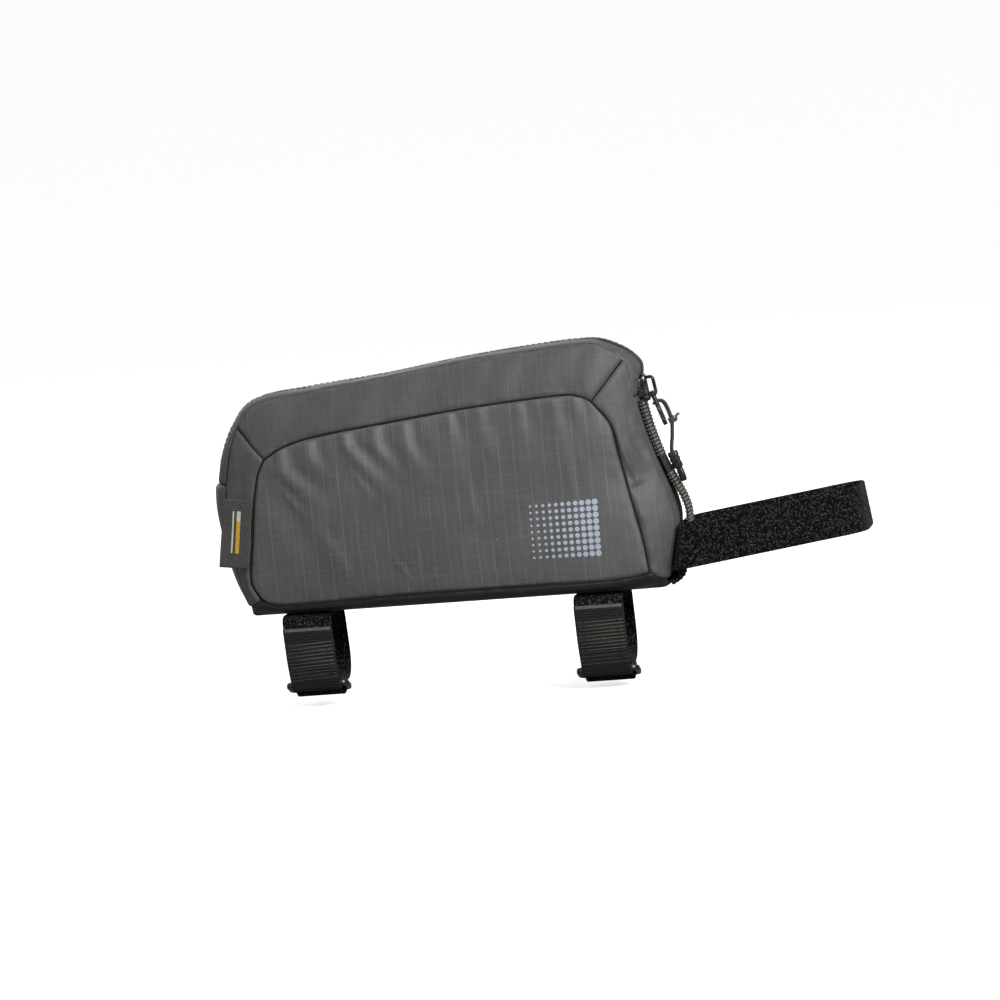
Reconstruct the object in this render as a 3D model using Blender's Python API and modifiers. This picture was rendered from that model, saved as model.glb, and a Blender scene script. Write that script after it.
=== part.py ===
# Top tube bag: a sewn, zipped bag with two straps round the tube below it and one round the stem.
# Metres, +Z up, +X towards the stem. The near side, with the label, faces -Y.
# The origin is the middle of the base's underside, where the bag sits on the tube.

import math
from collections import namedtuple

import bmesh
import bpy
from mathutils import Vector

# Sewn body
LENGTH = 0.214  # between the edge seams at the rear and at the front
HEIGHT = 0.115  # from the base to the edge seam at the front
SEAM_HALF = 0.0245  # half the width at the side panels' seams, above the base
EDGE_HALF = 0.016  # half the width at the edge seams, along the top
SIDE_CROWN = 0.0042  # how far a side panel bulges past its seams
BAND_CROWN = 0.0011  # how far the bands round a side panel bulge
GUSSET_CROWN = 0.0065  # how far the gusset bulges past the edge seams, at the rear
WALL = 0.002  # padded cloth
GAP = 0.00035  # between pieces that touch on the real bag
SEAM_INSET = 0.0002  # each panel stops this far from the line of its seam
LONG_CELLS = 26  # mesh cells along the top and the base
TALL_CELLS = 14  # mesh cells up the front and the rear

# Zip
ZIP_HALF = 0.006
ZIP_FRONT_CELLS = 3  # how far the zip runs down the front, in cells
ZIP_REAR_CELLS = 4
ZIP_SINK = 0.001
ZIP_TAPE = 0.0009
COIL_WIDTH = 0.0052
COIL_THICK = 0.0013

# Zip slider and pull
SLIDER_RISE = 0.0027  # the slider's middle is this far above the zip's front end
SLIDER_LENGTH = 0.0125
SLIDER_WIDTH = 0.0084
SLIDER_PLATE = 0.0019
SLIDER_LIFT = 0.0005  # more room under the slider, where the zip curves
ARCH_LENGTH = 0.0102
ARCH_HEIGHT = 0.0040
ARCH_WIDTH = 0.0022
ARCH_WALL = 0.0013
TAB_LENGTH = 0.0170
TAB_WIDTH = 0.0058
TAB_THICK = 0.0012
TAB_EYE = 0.0034  # across the eye that the slider's arch passes through
TAB_REST = math.radians(19)  # the tab leans out from straight down
CORD_WIDTH = 0.0018
GRIP_LENGTH = 0.0148
GRIP_WIDTH = 0.0062
GRIP_THICK = 0.0046
GRIP_BORE = 0.008

# Straps round the tube
TUBE_WIDTH = 0.038
TUBE_HEIGHT = 0.031
TUBE_TOP_ROUND = 0.004
TUBE_LOW_ROUND = 0.013
STRAP_WIDTH = 0.023
STRAP_THICK = 0.0015
RING_ROD = 0.0027
RING_INNER = 0.0075  # across the ring's opening
RING_SLACK = 0.001  # the ring is this much longer inside than the strap is wide
RING_TILT = math.radians(19)  # the ring's near side is its higher one
# Each strap's place along the bag as a share of LENGTH, how far its ring lies below the tube's lowest line,
# how far below the base its free end lies, and its lean forward as a share of the way down.
TubeStrap = namedtuple("TubeStrap", "along ring_drop hem lean")
STRAPS = {
    "rear": TubeStrap(-0.3322, 0.0002, 0.0066, 0.058),
    "front": TubeStrap(0.3037, 0.0026, 0.0052, 0.036),
}

# Strap round the stem, and the webbing that holds it to the bag
STEM_STRAP_WIDTH = 0.0210
STEM_STRAP_THICK = 0.0018
STEM_STRAP_RISE = math.radians(7.7)
STEM_STRAP_UP = 0.0186  # height of its middle where it lies on the bag
STEM_DEPTH = 0.0872  # the stem's size along the strap
STEM_WIDTH = 0.041
STEM_FRONT_ROUND = 0.009
STEM_REAR_ROUND = 0.004
STEM_OVERLAP = 0.036
WEB_WIDTH = 0.020
WEB_THICK = 0.0014

# Side label
LABEL_WIDTH = 0.014
LABEL_LENGTH = 0.032
LABEL_THICK = 0.0008
LABEL_UP = 0.0385  # height of its middle
LABEL_FLARE = math.radians(4)

# Outline of one side, as a closed row of stations from the rear top corner forwards. A seam is the side
# panel's edge and an edge is the gusset's. Places are shares of LENGTH and HEIGHT, half widths are shares
# of SEAM_HALF and EDGE_HALF, and the crown is a share of GUSSET_CROWN.
Station = namedtuple("Station", "seam_x seam_z edge_x edge_z seam_half edge_half crown")
REAR_TOP = Station(-0.395, 0.631, -0.455, 0.766, 0.84, 0.84, 0.66)
FRONT_TOP = Station(0.325, 0.767, 0.396, 0.922, 0.90, 0.85, 0.36)
FRONT_LOW = Station(0.422, 0.070, 0.456, 0.037, 0.93, 1.05, 0.12)
REAR_LOW = Station(-0.425, 0.066, -0.456, 0.040, 0.84, 0.95, 0.30)
TOP_SIDE = [
    REAR_TOP,
    Station(-0.341, 0.683, -0.409, 0.856, 0.88, 0.88, 0.52),
    Station(-0.257, 0.716, -0.299, 0.887, 0.92, 0.94, 0.42),
    Station(-0.102, 0.749, -0.131, 0.923, 0.95, 0.97, 0.26),
    Station(0.039, 0.777, 0.037, 0.965, 0.96, 1.00, 0.24),
    Station(0.173, 0.795, 0.189, 0.988, 0.96, 1.00, 0.32),
    Station(0.269, 0.802, 0.290, 1.000, 0.94, 0.97, 0.30),
    Station(0.302, 0.791, 0.346, 0.990, 0.92, 0.92, 0.28),
    FRONT_TOP,
]
FRONT_SIDE = [
    FRONT_TOP,
    Station(0.362, 0.675, 0.408, 0.849, 0.88, 0.82, 0.42),
    Station(0.376, 0.552, 0.418, 0.722, 0.89, 0.82, 0.14),
    Station(0.386, 0.447, 0.447, 0.526, 0.90, 0.84, 0.14),
    Station(0.399, 0.335, 0.476, 0.370, 0.92, 0.88, 0.12),
    Station(0.412, 0.217, 0.484, 0.248, 0.94, 0.95, 0.10),
    FRONT_LOW,
]
LOW_SIDE = [
    FRONT_LOW,
    Station(0.341, 0.051, 0.366, 0.010, 0.98, 1.25, 0.15),
    Station(0.153, 0.051, 0.153, 0.010, 1.00, 1.30, 0.15),
    Station(-0.079, 0.051, -0.079, 0.010, 1.00, 1.30, 0.15),
    Station(-0.290, 0.043, -0.290, 0.010, 0.97, 1.25, 0.15),
    Station(-0.389, 0.043, -0.412, 0.013, 0.90, 1.10, 0.20),
    REAR_LOW,
]
REAR_SIDE = [
    REAR_LOW,
    Station(-0.445, 0.148, -0.475, 0.157, 0.84, 0.86, 0.65),
    Station(-0.436, 0.304, -0.488, 0.322, 0.85, 0.82, 0.90),
    Station(-0.426, 0.447, -0.493, 0.470, 0.85, 0.80, 1.00),
    Station(-0.411, 0.570, -0.481, 0.635, 0.85, 0.80, 0.92),
    REAR_TOP,
]

# Soft folds of the sides: a place and the fold's half length and half width as shares of LENGTH and
# HEIGHT, the direction of its length in degrees from +X, and its depth, where below 0 stands out.
Fold = namedtuple("Fold", "at_x at_z long wide toward depth")
FOLDS = [
    Fold(0.400, 0.445, 0.040, 0.075, 20, 0.0017),
    Fold(0.372, 0.600, 0.075, 0.040, 115, -0.0012),
    Fold(0.415, 0.240, 0.080, 0.045, 100, -0.0009),
    Fold(-0.335, 0.385, 0.110, 0.060, 118, 0.0010),
    Fold(-0.290, 0.330, 0.110, 0.050, 118, -0.0007),
    Fold(0.060, 0.560, 0.120, 0.060, 95, 0.0006),
    Fold(-0.455, 0.520, 0.090, 0.035, 85, 0.0009),
]

# The webbing on the front, from its top end to the base: how far down the front it is, as a share of the
# way from the zip's end to the base, and how far it stands off the panel, as a share of the room that the
# stem strap takes.
WEB_ROUTE = [(0.05, 0), (0.14, 0), (0.26, 0), (0.38, 0.10), (0.50, 0.55), (0.58, 0.98), (0.64, 1.12),
             (0.72, 1.10), (0.82, 1.12), (0.94, 1.22), (0.985, 0.95)]

# The pull's cord, as places out from the tab's axis and along the tab, in shares of TAB_LENGTH
CORD_ROUTE = [(0.00, 0.20), (0.09, 0.21), (0.17, 0.27), (0.205, 0.38), (0.215, 0.52), (0.21, 0.67),
              (0.198, 0.82), (0.145, 0.98), (0.085, 1.12), (0.03, 1.25), (-0.04, 1.38), (-0.10, 1.50),
              (-0.14, 1.62), (-0.15, 1.80), (-0.155, 2.07)]
KNOT_AT = 6  # the place on the cord's route that the knot sits on


def clear_scene():
    for obj in list(bpy.data.objects):
        bpy.data.objects.remove(obj)


def make_collection(name):
    group = bpy.data.collections.new(name)
    bpy.context.scene.collection.children.link(group)
    return group


def make_material(name, colour, roughness, metallic=0.0):
    made = bpy.data.materials.new(name)
    made.use_nodes = True
    shader = made.node_tree.nodes["Principled BSDF"]
    shader.inputs["Base Color"].default_value = (*colour, 1)
    shader.inputs["Roughness"].default_value = roughness
    shader.inputs["Metallic"].default_value = metallic
    return made


def add_object(name, mesh, material, parent=None):
    obj = bpy.data.objects.new(name, mesh)
    PARTS.objects.link(obj)
    mesh.materials.append(material)
    obj.parent = parent
    return obj


def mesh_from(name, verts, faces):
    mesh = bpy.data.meshes.new(name)
    mesh.from_pydata(verts, [], faces)
    mesh.update()
    return mesh


def add_guide(name, location, parent=None, turn=0.0):
    """An empty that places what hangs on it, turned about +Y."""
    guide = bpy.data.objects.new(name, None)
    PARTS.objects.link(guide)
    guide.location = location
    guide.rotation_euler = (0, turn, 0)
    guide.parent = parent
    return guide


def spline(p, q, r, s, t):
    """The place at t on a smooth curve from q to r, where p comes before them and s after."""
    bend = 2 * p - 5 * q + 4 * r - s
    twist = 3 * q - p - 3 * r + s
    return 0.5 * (2 * q + (r - p) * t + bend * t * t + twist * t ** 3)


def resample(rows, cells):
    """Rows of numbers, read at even steps from a smooth curve through them."""
    ends = [rows[0], *rows, rows[-1]]
    spans = [math.dist(a[2:4], b[2:4]) + math.dist(a[0:2], b[0:2]) for a, b in zip(rows, rows[1:])]
    whole = sum(spans)
    out = []
    for n in range(cells + 1):
        left = whole * n / cells
        at = 0
        while at < len(spans) - 1 and left > spans[at]:
            left -= spans[at]
            at += 1
        t = min(left / spans[at], 1.0)
        before, a, b, after = ends[at : at + 4]
        out.append(tuple(spline(*four, t) for four in zip(before, a, b, after)))
    return out


def outline():
    """The stations all round, at mesh pitch, from the rear top corner forwards, in metres."""
    rows = []
    for side in (TOP_SIDE, FRONT_SIDE, LOW_SIDE, REAR_SIDE):
        is_long = side in (TOP_SIDE, LOW_SIDE)
        rows += resample(side, LONG_CELLS if is_long else TALL_CELLS)[:-1]
    return [
        Station(r[0] * LENGTH, r[1] * HEIGHT, r[2] * LENGTH, r[3] * HEIGHT,
                r[4] * SEAM_HALF, r[5] * EDGE_HALF, r[6] * GUSSET_CROWN)
        for r in rows
    ]


def outward(ring, k):
    """The direction out of the side's outline at station k, in the XZ plane."""
    before, after = ring[k - 1], ring[(k + 1) % len(ring)]
    along = Vector((after.edge_x - before.edge_x, 0, after.edge_z - before.edge_z)).normalized()
    return Vector((-along.z, 0, along.x))


def gusset_rows(ring, k):
    """The points across the gusset at station k, from the near edge seam to the far one."""
    s, out = ring[k], outward(ring, k)
    middle = (s.edge_half + ZIP_HALF) / 2
    is_base = LONG_CELLS + TALL_CELLS < k < 2 * LONG_CELLS + TALL_CELLS
    row = []
    for y in (-s.edge_half, -middle, -ZIP_HALF, 0.0, ZIP_HALF, middle, s.edge_half):
        if is_base:
            row.append(Vector((s.edge_x, y, s.edge_z if abs(y) > middle else 0.0)))
        else:
            row.append(Vector((s.edge_x, y, s.edge_z)) + out * s.crown * (1 - (y / s.edge_half) ** 2))
    return row


def folded(point, side):
    """A point of a side, pushed in or out by the folds."""
    push = 0.0
    for fold in FOLDS:
        dx, dz = point.x - fold.at_x * LENGTH, point.z - fold.at_z * HEIGHT
        turn = math.radians(fold.toward)
        along = (dx * math.cos(turn) + dz * math.sin(turn)) / (fold.long * LENGTH)
        across = (dz * math.cos(turn) - dx * math.sin(turn)) / (fold.wide * HEIGHT)
        push += fold.depth * math.exp(-along * along - across * across)
    return point - Vector((0, side * push, 0))


def side_grid(ring, side):
    """Rows of points over one side panel, filled in from its seam, with its crown and folds."""
    n, m = LONG_CELLS, TALL_CELLS
    seam = [Vector((s.seam_x, side * s.seam_half, s.seam_z)) for s in ring]
    top, front = seam[: n + 1], seam[n : n + m + 1][::-1]
    low, rear = seam[n + m : 2 * n + m + 1][::-1], seam[2 * n + m :] + seam[:1]
    grid = []
    for i in range(n + 1):
        u = i / n
        column = []
        for j in range(m + 1):
            v = j / m
            point = low[i] * (1 - v) + top[i] * v + rear[j] * (1 - u) + front[j] * u
            point -= rear[0] * (1 - u) * (1 - v) + front[0] * u * (1 - v)
            point -= rear[m] * (1 - u) * v + front[m] * u * v
            swell = (1 - abs(2 * u - 1) ** 3.2) * (1 - abs(2 * v - 1) ** 2.6)
            point.y += side * SIDE_CROWN * swell
            column.append(folded(point, side) if swell else point)
        grid.append(column)
    return grid


def seam_place(k):
    """Where station k of the outline lies on a side panel's grid."""
    n, m = LONG_CELLS, TALL_CELLS
    if k <= n:
        return k, m
    if k <= n + m:
        return n, n + m - k
    if k <= 2 * n + m:
        return 2 * n + m - k, 0
    return 0, k - 2 * n - m


def build_skin(ring):
    """The bag's whole outer skin as one closed mesh, and the panel that each face belongs to."""
    n, m, count = LONG_CELLS, TALL_CELLS, len(ring)
    skin = bmesh.new()
    panel = skin.faces.layers.int.new("panel")
    across = [[skin.verts.new(p) for p in gusset_rows(ring, k)] for k in range(count)]
    names = []

    def add_face(name, *corners):
        if name not in names:
            names.append(name)
        skin.faces.new(corners)[panel] = names.index(name)

    def part_at(k):
        return "top" if k < n else "front" if k < n + m else "base" if k < 2 * n + m else "rear"

    for side, word, edge_row in ((-1, "near", 0), (1, "far", 6)):
        grid = [[skin.verts.new(p) for p in column] for column in side_grid(ring, side)]
        for i in range(n):
            for j in range(m):
                a, b = grid[i], grid[i + 1]
                add_face(f"side_panel_{word}", a[j], b[j], b[j + 1], a[j + 1])
        seam = [grid[i][j] for i, j in map(seam_place, range(count))]
        middle = []
        for k in range(count):
            lift = (outward(ring, k) * 0.6 + Vector((0, side * 0.8, 0))) * BAND_CROWN
            middle.append(skin.verts.new(folded((seam[k].co + across[k][edge_row].co) / 2 + lift, side)))
        for k in range(count):
            after = (k + 1) % count
            name = "base_panel" if part_at(k) == "base" else f"{part_at(k)}_band_{word}"
            add_face(name, seam[k], seam[after], middle[after], middle[k])
            add_face(name, middle[k], middle[after], across[after][edge_row], across[k][edge_row])
    for k in range(count):
        zipped = k < n + ZIP_FRONT_CELLS or k >= count - ZIP_REAR_CELLS
        for row in range(6):
            if zipped:
                name = "zip_panel_near" if row < 2 else "zip_tape" if row < 4 else "zip_panel_far"
            else:
                name = f"{part_at(k)}_panel"
            a, b = across[k], across[(k + 1) % count]
            add_face(name, a[row], a[row + 1], b[row + 1], b[row])
    bmesh.ops.recalc_face_normals(skin, faces=skin.faces)
    skin.normal_update()
    return skin, panel, names


def rim_shift(vert, rim_edges, faces):
    """How far a panel's rim point moves in from its seam, square to each rim edge."""
    inward = []
    for edge in rim_edges:
        face = next(f for f in edge.link_faces if f in faces)
        along = (edge.verts[1].co - edge.verts[0].co).normalized()
        square = face.normal.cross(along)
        if square.dot(face.calc_center_median() - edge.verts[0].co) < 0:
            square.negate()
        inward.append(square)
    if len(inward) < 2:
        return inward[0] * SEAM_INSET
    both = inward[0] + inward[1]
    return both * (SEAM_INSET / max(1 + inward[0].dot(inward[1]), 0.3))


def panel_solid(skin, faces, wall, sink=0.0):
    """A panel of the skin as a closed wall that shares its slant at each seam with the next panel."""
    faces = set(faces)
    rim = [e for e in skin.edges if sum(f in faces for f in e.link_faces) == 1]
    at_rim = {}
    for edge in rim:
        for vert in edge.verts:
            at_rim.setdefault(vert, []).append(edge)
    verts, order = [], {}
    for vert in {v for f in faces for v in f.verts}:
        shift = rim_shift(vert, at_rim[vert], faces) if vert in at_rim else Vector()
        order[vert] = len(verts)
        in_by = vert.normal * vert.calc_shell_factor()
        verts += [vert.co + shift - in_by * sink, vert.co + shift - in_by * (sink + wall)]
    quads = []
    for face in faces:
        corners = [order[v] for v in face.verts]
        quads += [corners, [c + 1 for c in reversed(corners)]]
        for a, b in zip(face.verts, [*face.verts[1:], face.verts[0]]):
            edge = skin.edges.get((a, b))
            if edge in rim:
                quads.append([order[b], order[a], order[a] + 1, order[b] + 1])
    return verts, quads


def add_panels(skin, panel, names, cloths):
    for number, name in enumerate(names):
        faces = [f for f in skin.faces if f[panel] == number]
        wall, sink = (ZIP_TAPE, ZIP_SINK) if name == "zip_tape" else (WALL, 0.0)
        cloth = cloths[name if name in cloths else name.split("_")[0]]
        obj = add_object(name, mesh_from(name, *panel_solid(skin, faces, wall, sink)), cloth)
        obj.data.shade_smooth()
        obj.data.set_sharp_from_angle(angle=math.radians(40))


def belt(stops, step=math.radians(20)):
    """The line of a strap pulled over round stops, each (a, b, radius); a left turn's radius is above 0,
    a right turn's is below it, and an end's is 0."""
    headings = []
    for (a0, b0, r0), (a1, b1, r1) in zip(stops, stops[1:]):
        span = math.hypot(a1 - a0, b1 - b0)
        headings.append(math.atan2(b1 - b0, a1 - a0) - math.asin((r1 - r0) / span))
    points = []
    for at, (a, b, radius) in enumerate(stops):
        first = headings[max(at - 1, 0)]
        last = headings[min(at, len(headings) - 1)]
        if radius > 0:
            turn = (last - first + 0.01) % math.tau - 0.01
        else:
            turn = (last - first - 0.01) % -math.tau + 0.01
        steps = max(1, round(abs(turn) / step)) if radius else 0
        for n in range(steps + 1):
            heading = first + (turn * n / steps if steps else 0)
            points.append((a + radius * math.sin(heading), b - radius * math.cos(heading)))
    return points


def add_band(name, one_edge, other_edge, thick, material, parent=None):
    """A flat strap between two lines of points, given its thickness on both sides of them."""
    count = len(one_edge)
    faces = [(n, n + 1, count + n + 1, count + n) for n in range(count - 1)]
    obj = add_object(name, mesh_from(name, [*one_edge, *other_edge], faces), material, parent)
    wall = obj.modifiers.new("thickness", "SOLIDIFY")
    wall.thickness = thick
    wall.offset = 0
    wall.use_even_offset = True
    obj.data.shade_smooth()
    obj.data.set_sharp_from_angle(angle=math.radians(40))
    return obj


def add_tube_strap(word, strap, web, plastic):
    """A strap round the tube, from its free end outside, round the ring and the tube to its sewn end."""
    top = -GAP - STRAP_THICK / 2
    tube_top = top - STRAP_THICK / 2
    half, low = TUBE_WIDTH / 2, tube_top - TUBE_HEIGHT
    lift = STRAP_THICK / 2
    wrap = RING_ROD / 2 + GAP + lift
    second = STRAP_THICK + GAP  # the free end lies this far outside the layer under it
    room = TUBE_LOW_ROUND + STRAP_THICK + 2 * GAP + RING_ROD / 2
    drop = TUBE_LOW_ROUND + strap.ring_drop
    out_by = math.sqrt(max(room ** 2 - drop ** 2, (room / 2) ** 2))
    near_bar = (-half + TUBE_LOW_ROUND - out_by, low - strap.ring_drop)
    reach = RING_INNER + RING_ROD
    far_bar = (near_bar[0] + reach * math.cos(RING_TILT), near_bar[1] - reach * math.sin(RING_TILT))
    low_turn, top_turn = TUBE_LOW_ROUND + lift, TUBE_TOP_ROUND + lift
    low_near = (-half + TUBE_LOW_ROUND, low + TUBE_LOW_ROUND)
    top_near = (-half + TUBE_TOP_ROUND, tube_top - TUBE_TOP_ROUND)
    line = belt([
        (-half - lift - second, -strap.hem, 0),
        (*low_near, low_turn + second),
        (*near_bar, wrap),
        (*low_near, -low_turn),
        (*top_near, -top_turn),
        (-top_near[0], top_near[1], -top_turn),
        (-low_near[0], low_near[1], -low_turn),
        (*far_bar, wrap),
        (-low_near[0], low - lift - second, 0),
    ])
    along = strap.along * LENGTH
    rows = [[Vector((along + side * STRAP_WIDTH / 2 - strap.lean * z, y, z)) for y, z in line]
            for side in (-1, 1)]
    add_band(f"{word}_strap", *rows, STRAP_THICK, web)
    middle = ((near_bar[0] + far_bar[0]) / 2, (near_bar[1] + far_bar[1]) / 2)
    long = STRAP_WIDTH + RING_SLACK + RING_ROD
    corner = RING_ROD * 0.75
    spots = []
    for cx, cy, first in ((1, 1, 0), (-1, 1, 90), (-1, -1, 180), (1, -1, 270)):
        for step in range(4):
            a = math.radians(first + 30 * step)
            spots.append((cx * (long / 2 - corner) + corner * math.cos(a),
                          cy * (reach / 2 - corner) + corner * math.sin(a), 0))
    ring = add_tube(f"{word}_ring", spots, RING_ROD, plastic, closed=True)
    ring.location = (along - strap.lean * middle[1], *middle)
    ring.rotation_euler = (-RING_TILT, 0, 0)


def add_tube(name, points, width, material, closed=False, parent=None, sides=2):
    curve = bpy.data.curves.new(name, "CURVE")
    curve.dimensions = "3D"
    curve.bevel_depth = width / 2
    curve.bevel_resolution = sides
    curve.use_fill_caps = not closed
    line = curve.splines.new("POLY")
    line.points.add(len(points) - 1)
    for spot, point in zip(line.points, points):
        spot.co = (*point, 1)
    line.use_cyclic_u = closed
    return add_object(name, curve, material, parent)


def front_line(ring):
    """The middle of the front and of the zip on it, from its top down, as places and directions out."""
    line = []
    for k in range(LONG_CELLS, LONG_CELLS + TALL_CELLS + 1):
        line.append((gusset_rows(ring, k)[3], outward(ring, k)))
    return line


def front_at(ring, height):
    """The middle of the front at a height: its place and its direction out."""
    line = front_line(ring)
    spans = list(zip(line, line[1:]))
    (a, out_a), (b, out_b) = next((span for span in spans if span[1][0].z <= height), spans[-1])
    t = (a.z - height) / (a.z - b.z)
    return a.lerp(b, t), out_a.lerp(out_b, t).normalized()


def room_at(ring, height, span):
    """How far a straight piece of this span stands off the front's middle to clear its swell."""
    heights = [height + span * n / 20 for n in range(-10, 11)]
    first, last = front_at(ring, heights[0])[0], front_at(ring, heights[-1])[0]
    swell = 0.0
    for n, level in enumerate(heights):
        swell = max(swell, front_at(ring, level)[0].x - first.lerp(last, n / 20).x)
    return swell + GAP


def add_zip_coil(ring, material):
    count = len(ring)
    lift = COIL_THICK / 2 + GAP - ZIP_SINK
    line = []
    for k in range(-ZIP_REAR_CELLS, LONG_CELLS + ZIP_FRONT_CELLS + 1):
        line.append(gusset_rows(ring, k % count)[3] + outward(ring, k % count) * lift)
    line[0] += (line[1] - line[0]).normalized() * 0.001
    line[-1] += (line[-2] - line[-1]).normalized() * 0.001
    rows = [[p + Vector((0, side * COIL_WIDTH / 2, 0)) for p in line] for side in (-1, 1)]
    add_band("zip_coil", *rows, COIL_THICK, material)


def add_cutter(name, mesh, parent=None):
    cutter = bpy.data.objects.new(name, mesh)
    CUTTERS.objects.link(cutter)
    cutter.parent = parent
    cutter.hide_render = True
    cutter.display_type = "WIRE"
    return cutter


def join_or_cut(obj, other, operation):
    step = obj.modifiers.new(operation.lower(), "BOOLEAN")
    step.operation = operation
    step.object = other


def bevelled(obj, width, segments=2):
    edge = obj.modifiers.new("edges", "BEVEL")
    edge.width = width
    edge.segments = segments
    return obj


def block_mesh(name, size, middle=(0, 0, 0)):
    """A box with its place in the mesh."""
    shape = bmesh.new()
    bmesh.ops.create_cube(shape, size=1)
    for vert in shape.verts:
        vert.co = Vector(vert.co[i] * size[i] + middle[i] for i in range(3))
    mesh = bpy.data.meshes.new(name)
    shape.to_mesh(mesh)
    shape.free()
    return mesh


def add_slider(ring, metal):
    """The slider's plate and the arch on it, in a frame with +X out of the front. Gives that frame."""
    height = gusset_rows(ring, LONG_CELLS + ZIP_FRONT_CELLS)[3].z + SLIDER_RISE
    place, out = front_at(ring, height)
    lift = COIL_THICK + GAP - ZIP_SINK + SLIDER_LIFT
    base = place + out * (lift + room_at(ring, height, SLIDER_LENGTH))
    frame = add_guide("slider_frame", base, turn=-math.atan2(out.z, out.x))
    size = (SLIDER_PLATE, SLIDER_WIDTH, SLIDER_LENGTH)
    plate = add_object("zip_slider", block_mesh("zip_slider", size, (SLIDER_PLATE / 2, 0, 0)), metal, frame)
    bevelled(plate, SLIDER_PLATE * 0.3)
    turn = ARCH_HEIGHT * 0.4
    reach, out_to = ARCH_LENGTH / 2 - ARCH_WALL / 2, SLIDER_PLATE + ARCH_HEIGHT - ARCH_WALL / 2
    line = belt([
        (-reach, SLIDER_PLATE / 2, 0),
        (-reach + turn, out_to - turn, -turn),
        (reach - turn, out_to - turn, -turn),
        (reach, SLIDER_PLATE / 2, 0),
    ], math.radians(30))
    rows = [[Vector((out_by, side * ARCH_WIDTH / 2, along)) for along, out_by in line] for side in (-1, 1)]
    arch = add_band("slider_arch", *rows, ARCH_WALL, metal, frame)
    PARTS.objects.unlink(arch)
    CUTTERS.objects.link(arch)
    arch.hide_render = True
    arch.display_type = "WIRE"
    join_or_cut(plate, arch, "UNION")
    return frame


def add_pull(frame, metal, cord_cloth, plastic):
    """The tab hung in the slider's arch, with its cord and grip. Its frame has +Z up the tab."""
    opening = ARCH_HEIGHT - ARCH_WALL
    drop = ARCH_LENGTH / 2 - ARCH_WALL - TAB_THICK / 2 - GAP
    turn = -TAB_REST - frame.rotation_euler.y
    pivot = add_guide("pull_pivot", (SLIDER_PLATE + opening / 2, 0, -drop), frame, turn=turn)
    body = (TAB_THICK, TAB_WIDTH, TAB_LENGTH)
    body_mesh = block_mesh("pull_tab", body, (0, 0, TAB_THICK / 2 - TAB_LENGTH / 2))
    tab = add_object("pull_tab", body_mesh, metal, pivot)
    eye_low = ARCH_WALL + 2 * GAP + 0.0012
    eye = add_cutter("tab_eye", block_mesh("tab_eye", (TAB_THICK * 3, TAB_EYE, eye_low),
                                           (0, 0, -TAB_THICK / 2 - eye_low / 2)), pivot)
    hole_up = CORD_ROUTE[0][1] * TAB_LENGTH
    slot = CORD_WIDTH + 2 * GAP
    hole = block_mesh("tab_cord_hole", (TAB_THICK * 3, slot + GAP, slot + GAP), (0, 0, -hole_up - slot / 2))
    join_or_cut(tab, eye, "DIFFERENCE")
    join_or_cut(tab, add_cutter("tab_cord_hole", hole, pivot), "DIFFERENCE")
    bevelled(tab, TAB_THICK * 0.2, 1)
    shift = -slot / 2
    route = [Vector((out * TAB_LENGTH, 0, shift - along * TAB_LENGTH)) for out, along in CORD_ROUTE]
    route[0].x = -TAB_THICK / 2
    add_tube("pull_cord", smooth_line(route, 3), CORD_WIDTH, cord_cloth, parent=pivot, sides=2)
    knot_at = route[KNOT_AT]
    add_knot(knot_at, pivot, cord_cloth)
    add_grip(route, pivot, plastic)


def smooth_line(points, steps):
    """More points along a smooth curve through these."""
    ends = [points[0], *points, points[-1]]
    line = []
    for n in range(len(points) - 1):
        p, q, r, s = ends[n : n + 4]
        for step in range(steps):
            t = step / steps  # the share of the way from q to r
            line.append(spline(p, q, r, s, t))
    return [*line, points[-1]]


def add_knot(at, parent, cloth):
    """The knot round the cord, as a ring of cord."""
    middle = CORD_WIDTH / 2 + GAP + CORD_WIDTH * 0.3
    spots = []
    for n in range(12):
        a = math.tau * n / 12
        spots.append((at.x + middle * math.cos(a), middle * math.sin(a), at.z))
    add_tube("cord_knot", spots, CORD_WIDTH * 0.6, cloth, closed=True, parent=parent)


def add_grip(route, parent, plastic):
    """The moulded grip at the cord's end: a wide upper block and a narrower tail, bored for the cord."""
    end, before = route[-1], route[-3]
    lean = math.atan2(end.x - before.x, before.z - end.z)
    top = end + (before - end).normalized() * (GRIP_BORE - GAP)
    frame = add_guide("grip_frame", top, parent, turn=-lean)
    upper = GRIP_LENGTH * 0.54
    body = block_mesh("pull_grip", (GRIP_THICK, GRIP_WIDTH, upper), (0, 0, -upper / 2))
    grip = add_object("pull_grip", body, plastic, frame)
    tail_long = GRIP_LENGTH - upper * 0.8
    tail = add_cutter("grip_tail", block_mesh("grip_tail", (GRIP_THICK * 0.66, GRIP_WIDTH * 0.8, tail_long),
                                              (GRIP_THICK * 0.08, 0, tail_long / 2 - GRIP_LENGTH)), frame)
    bore = block_mesh("grip_bore", (CORD_WIDTH + 2 * GAP, CORD_WIDTH + 2 * GAP, 2 * GRIP_BORE))
    join_or_cut(grip, tail, "UNION")
    join_or_cut(grip, add_cutter("grip_bore", bore, frame), "DIFFERENCE")
    bevelled(grip, GRIP_THICK * 0.1, 1)


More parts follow.
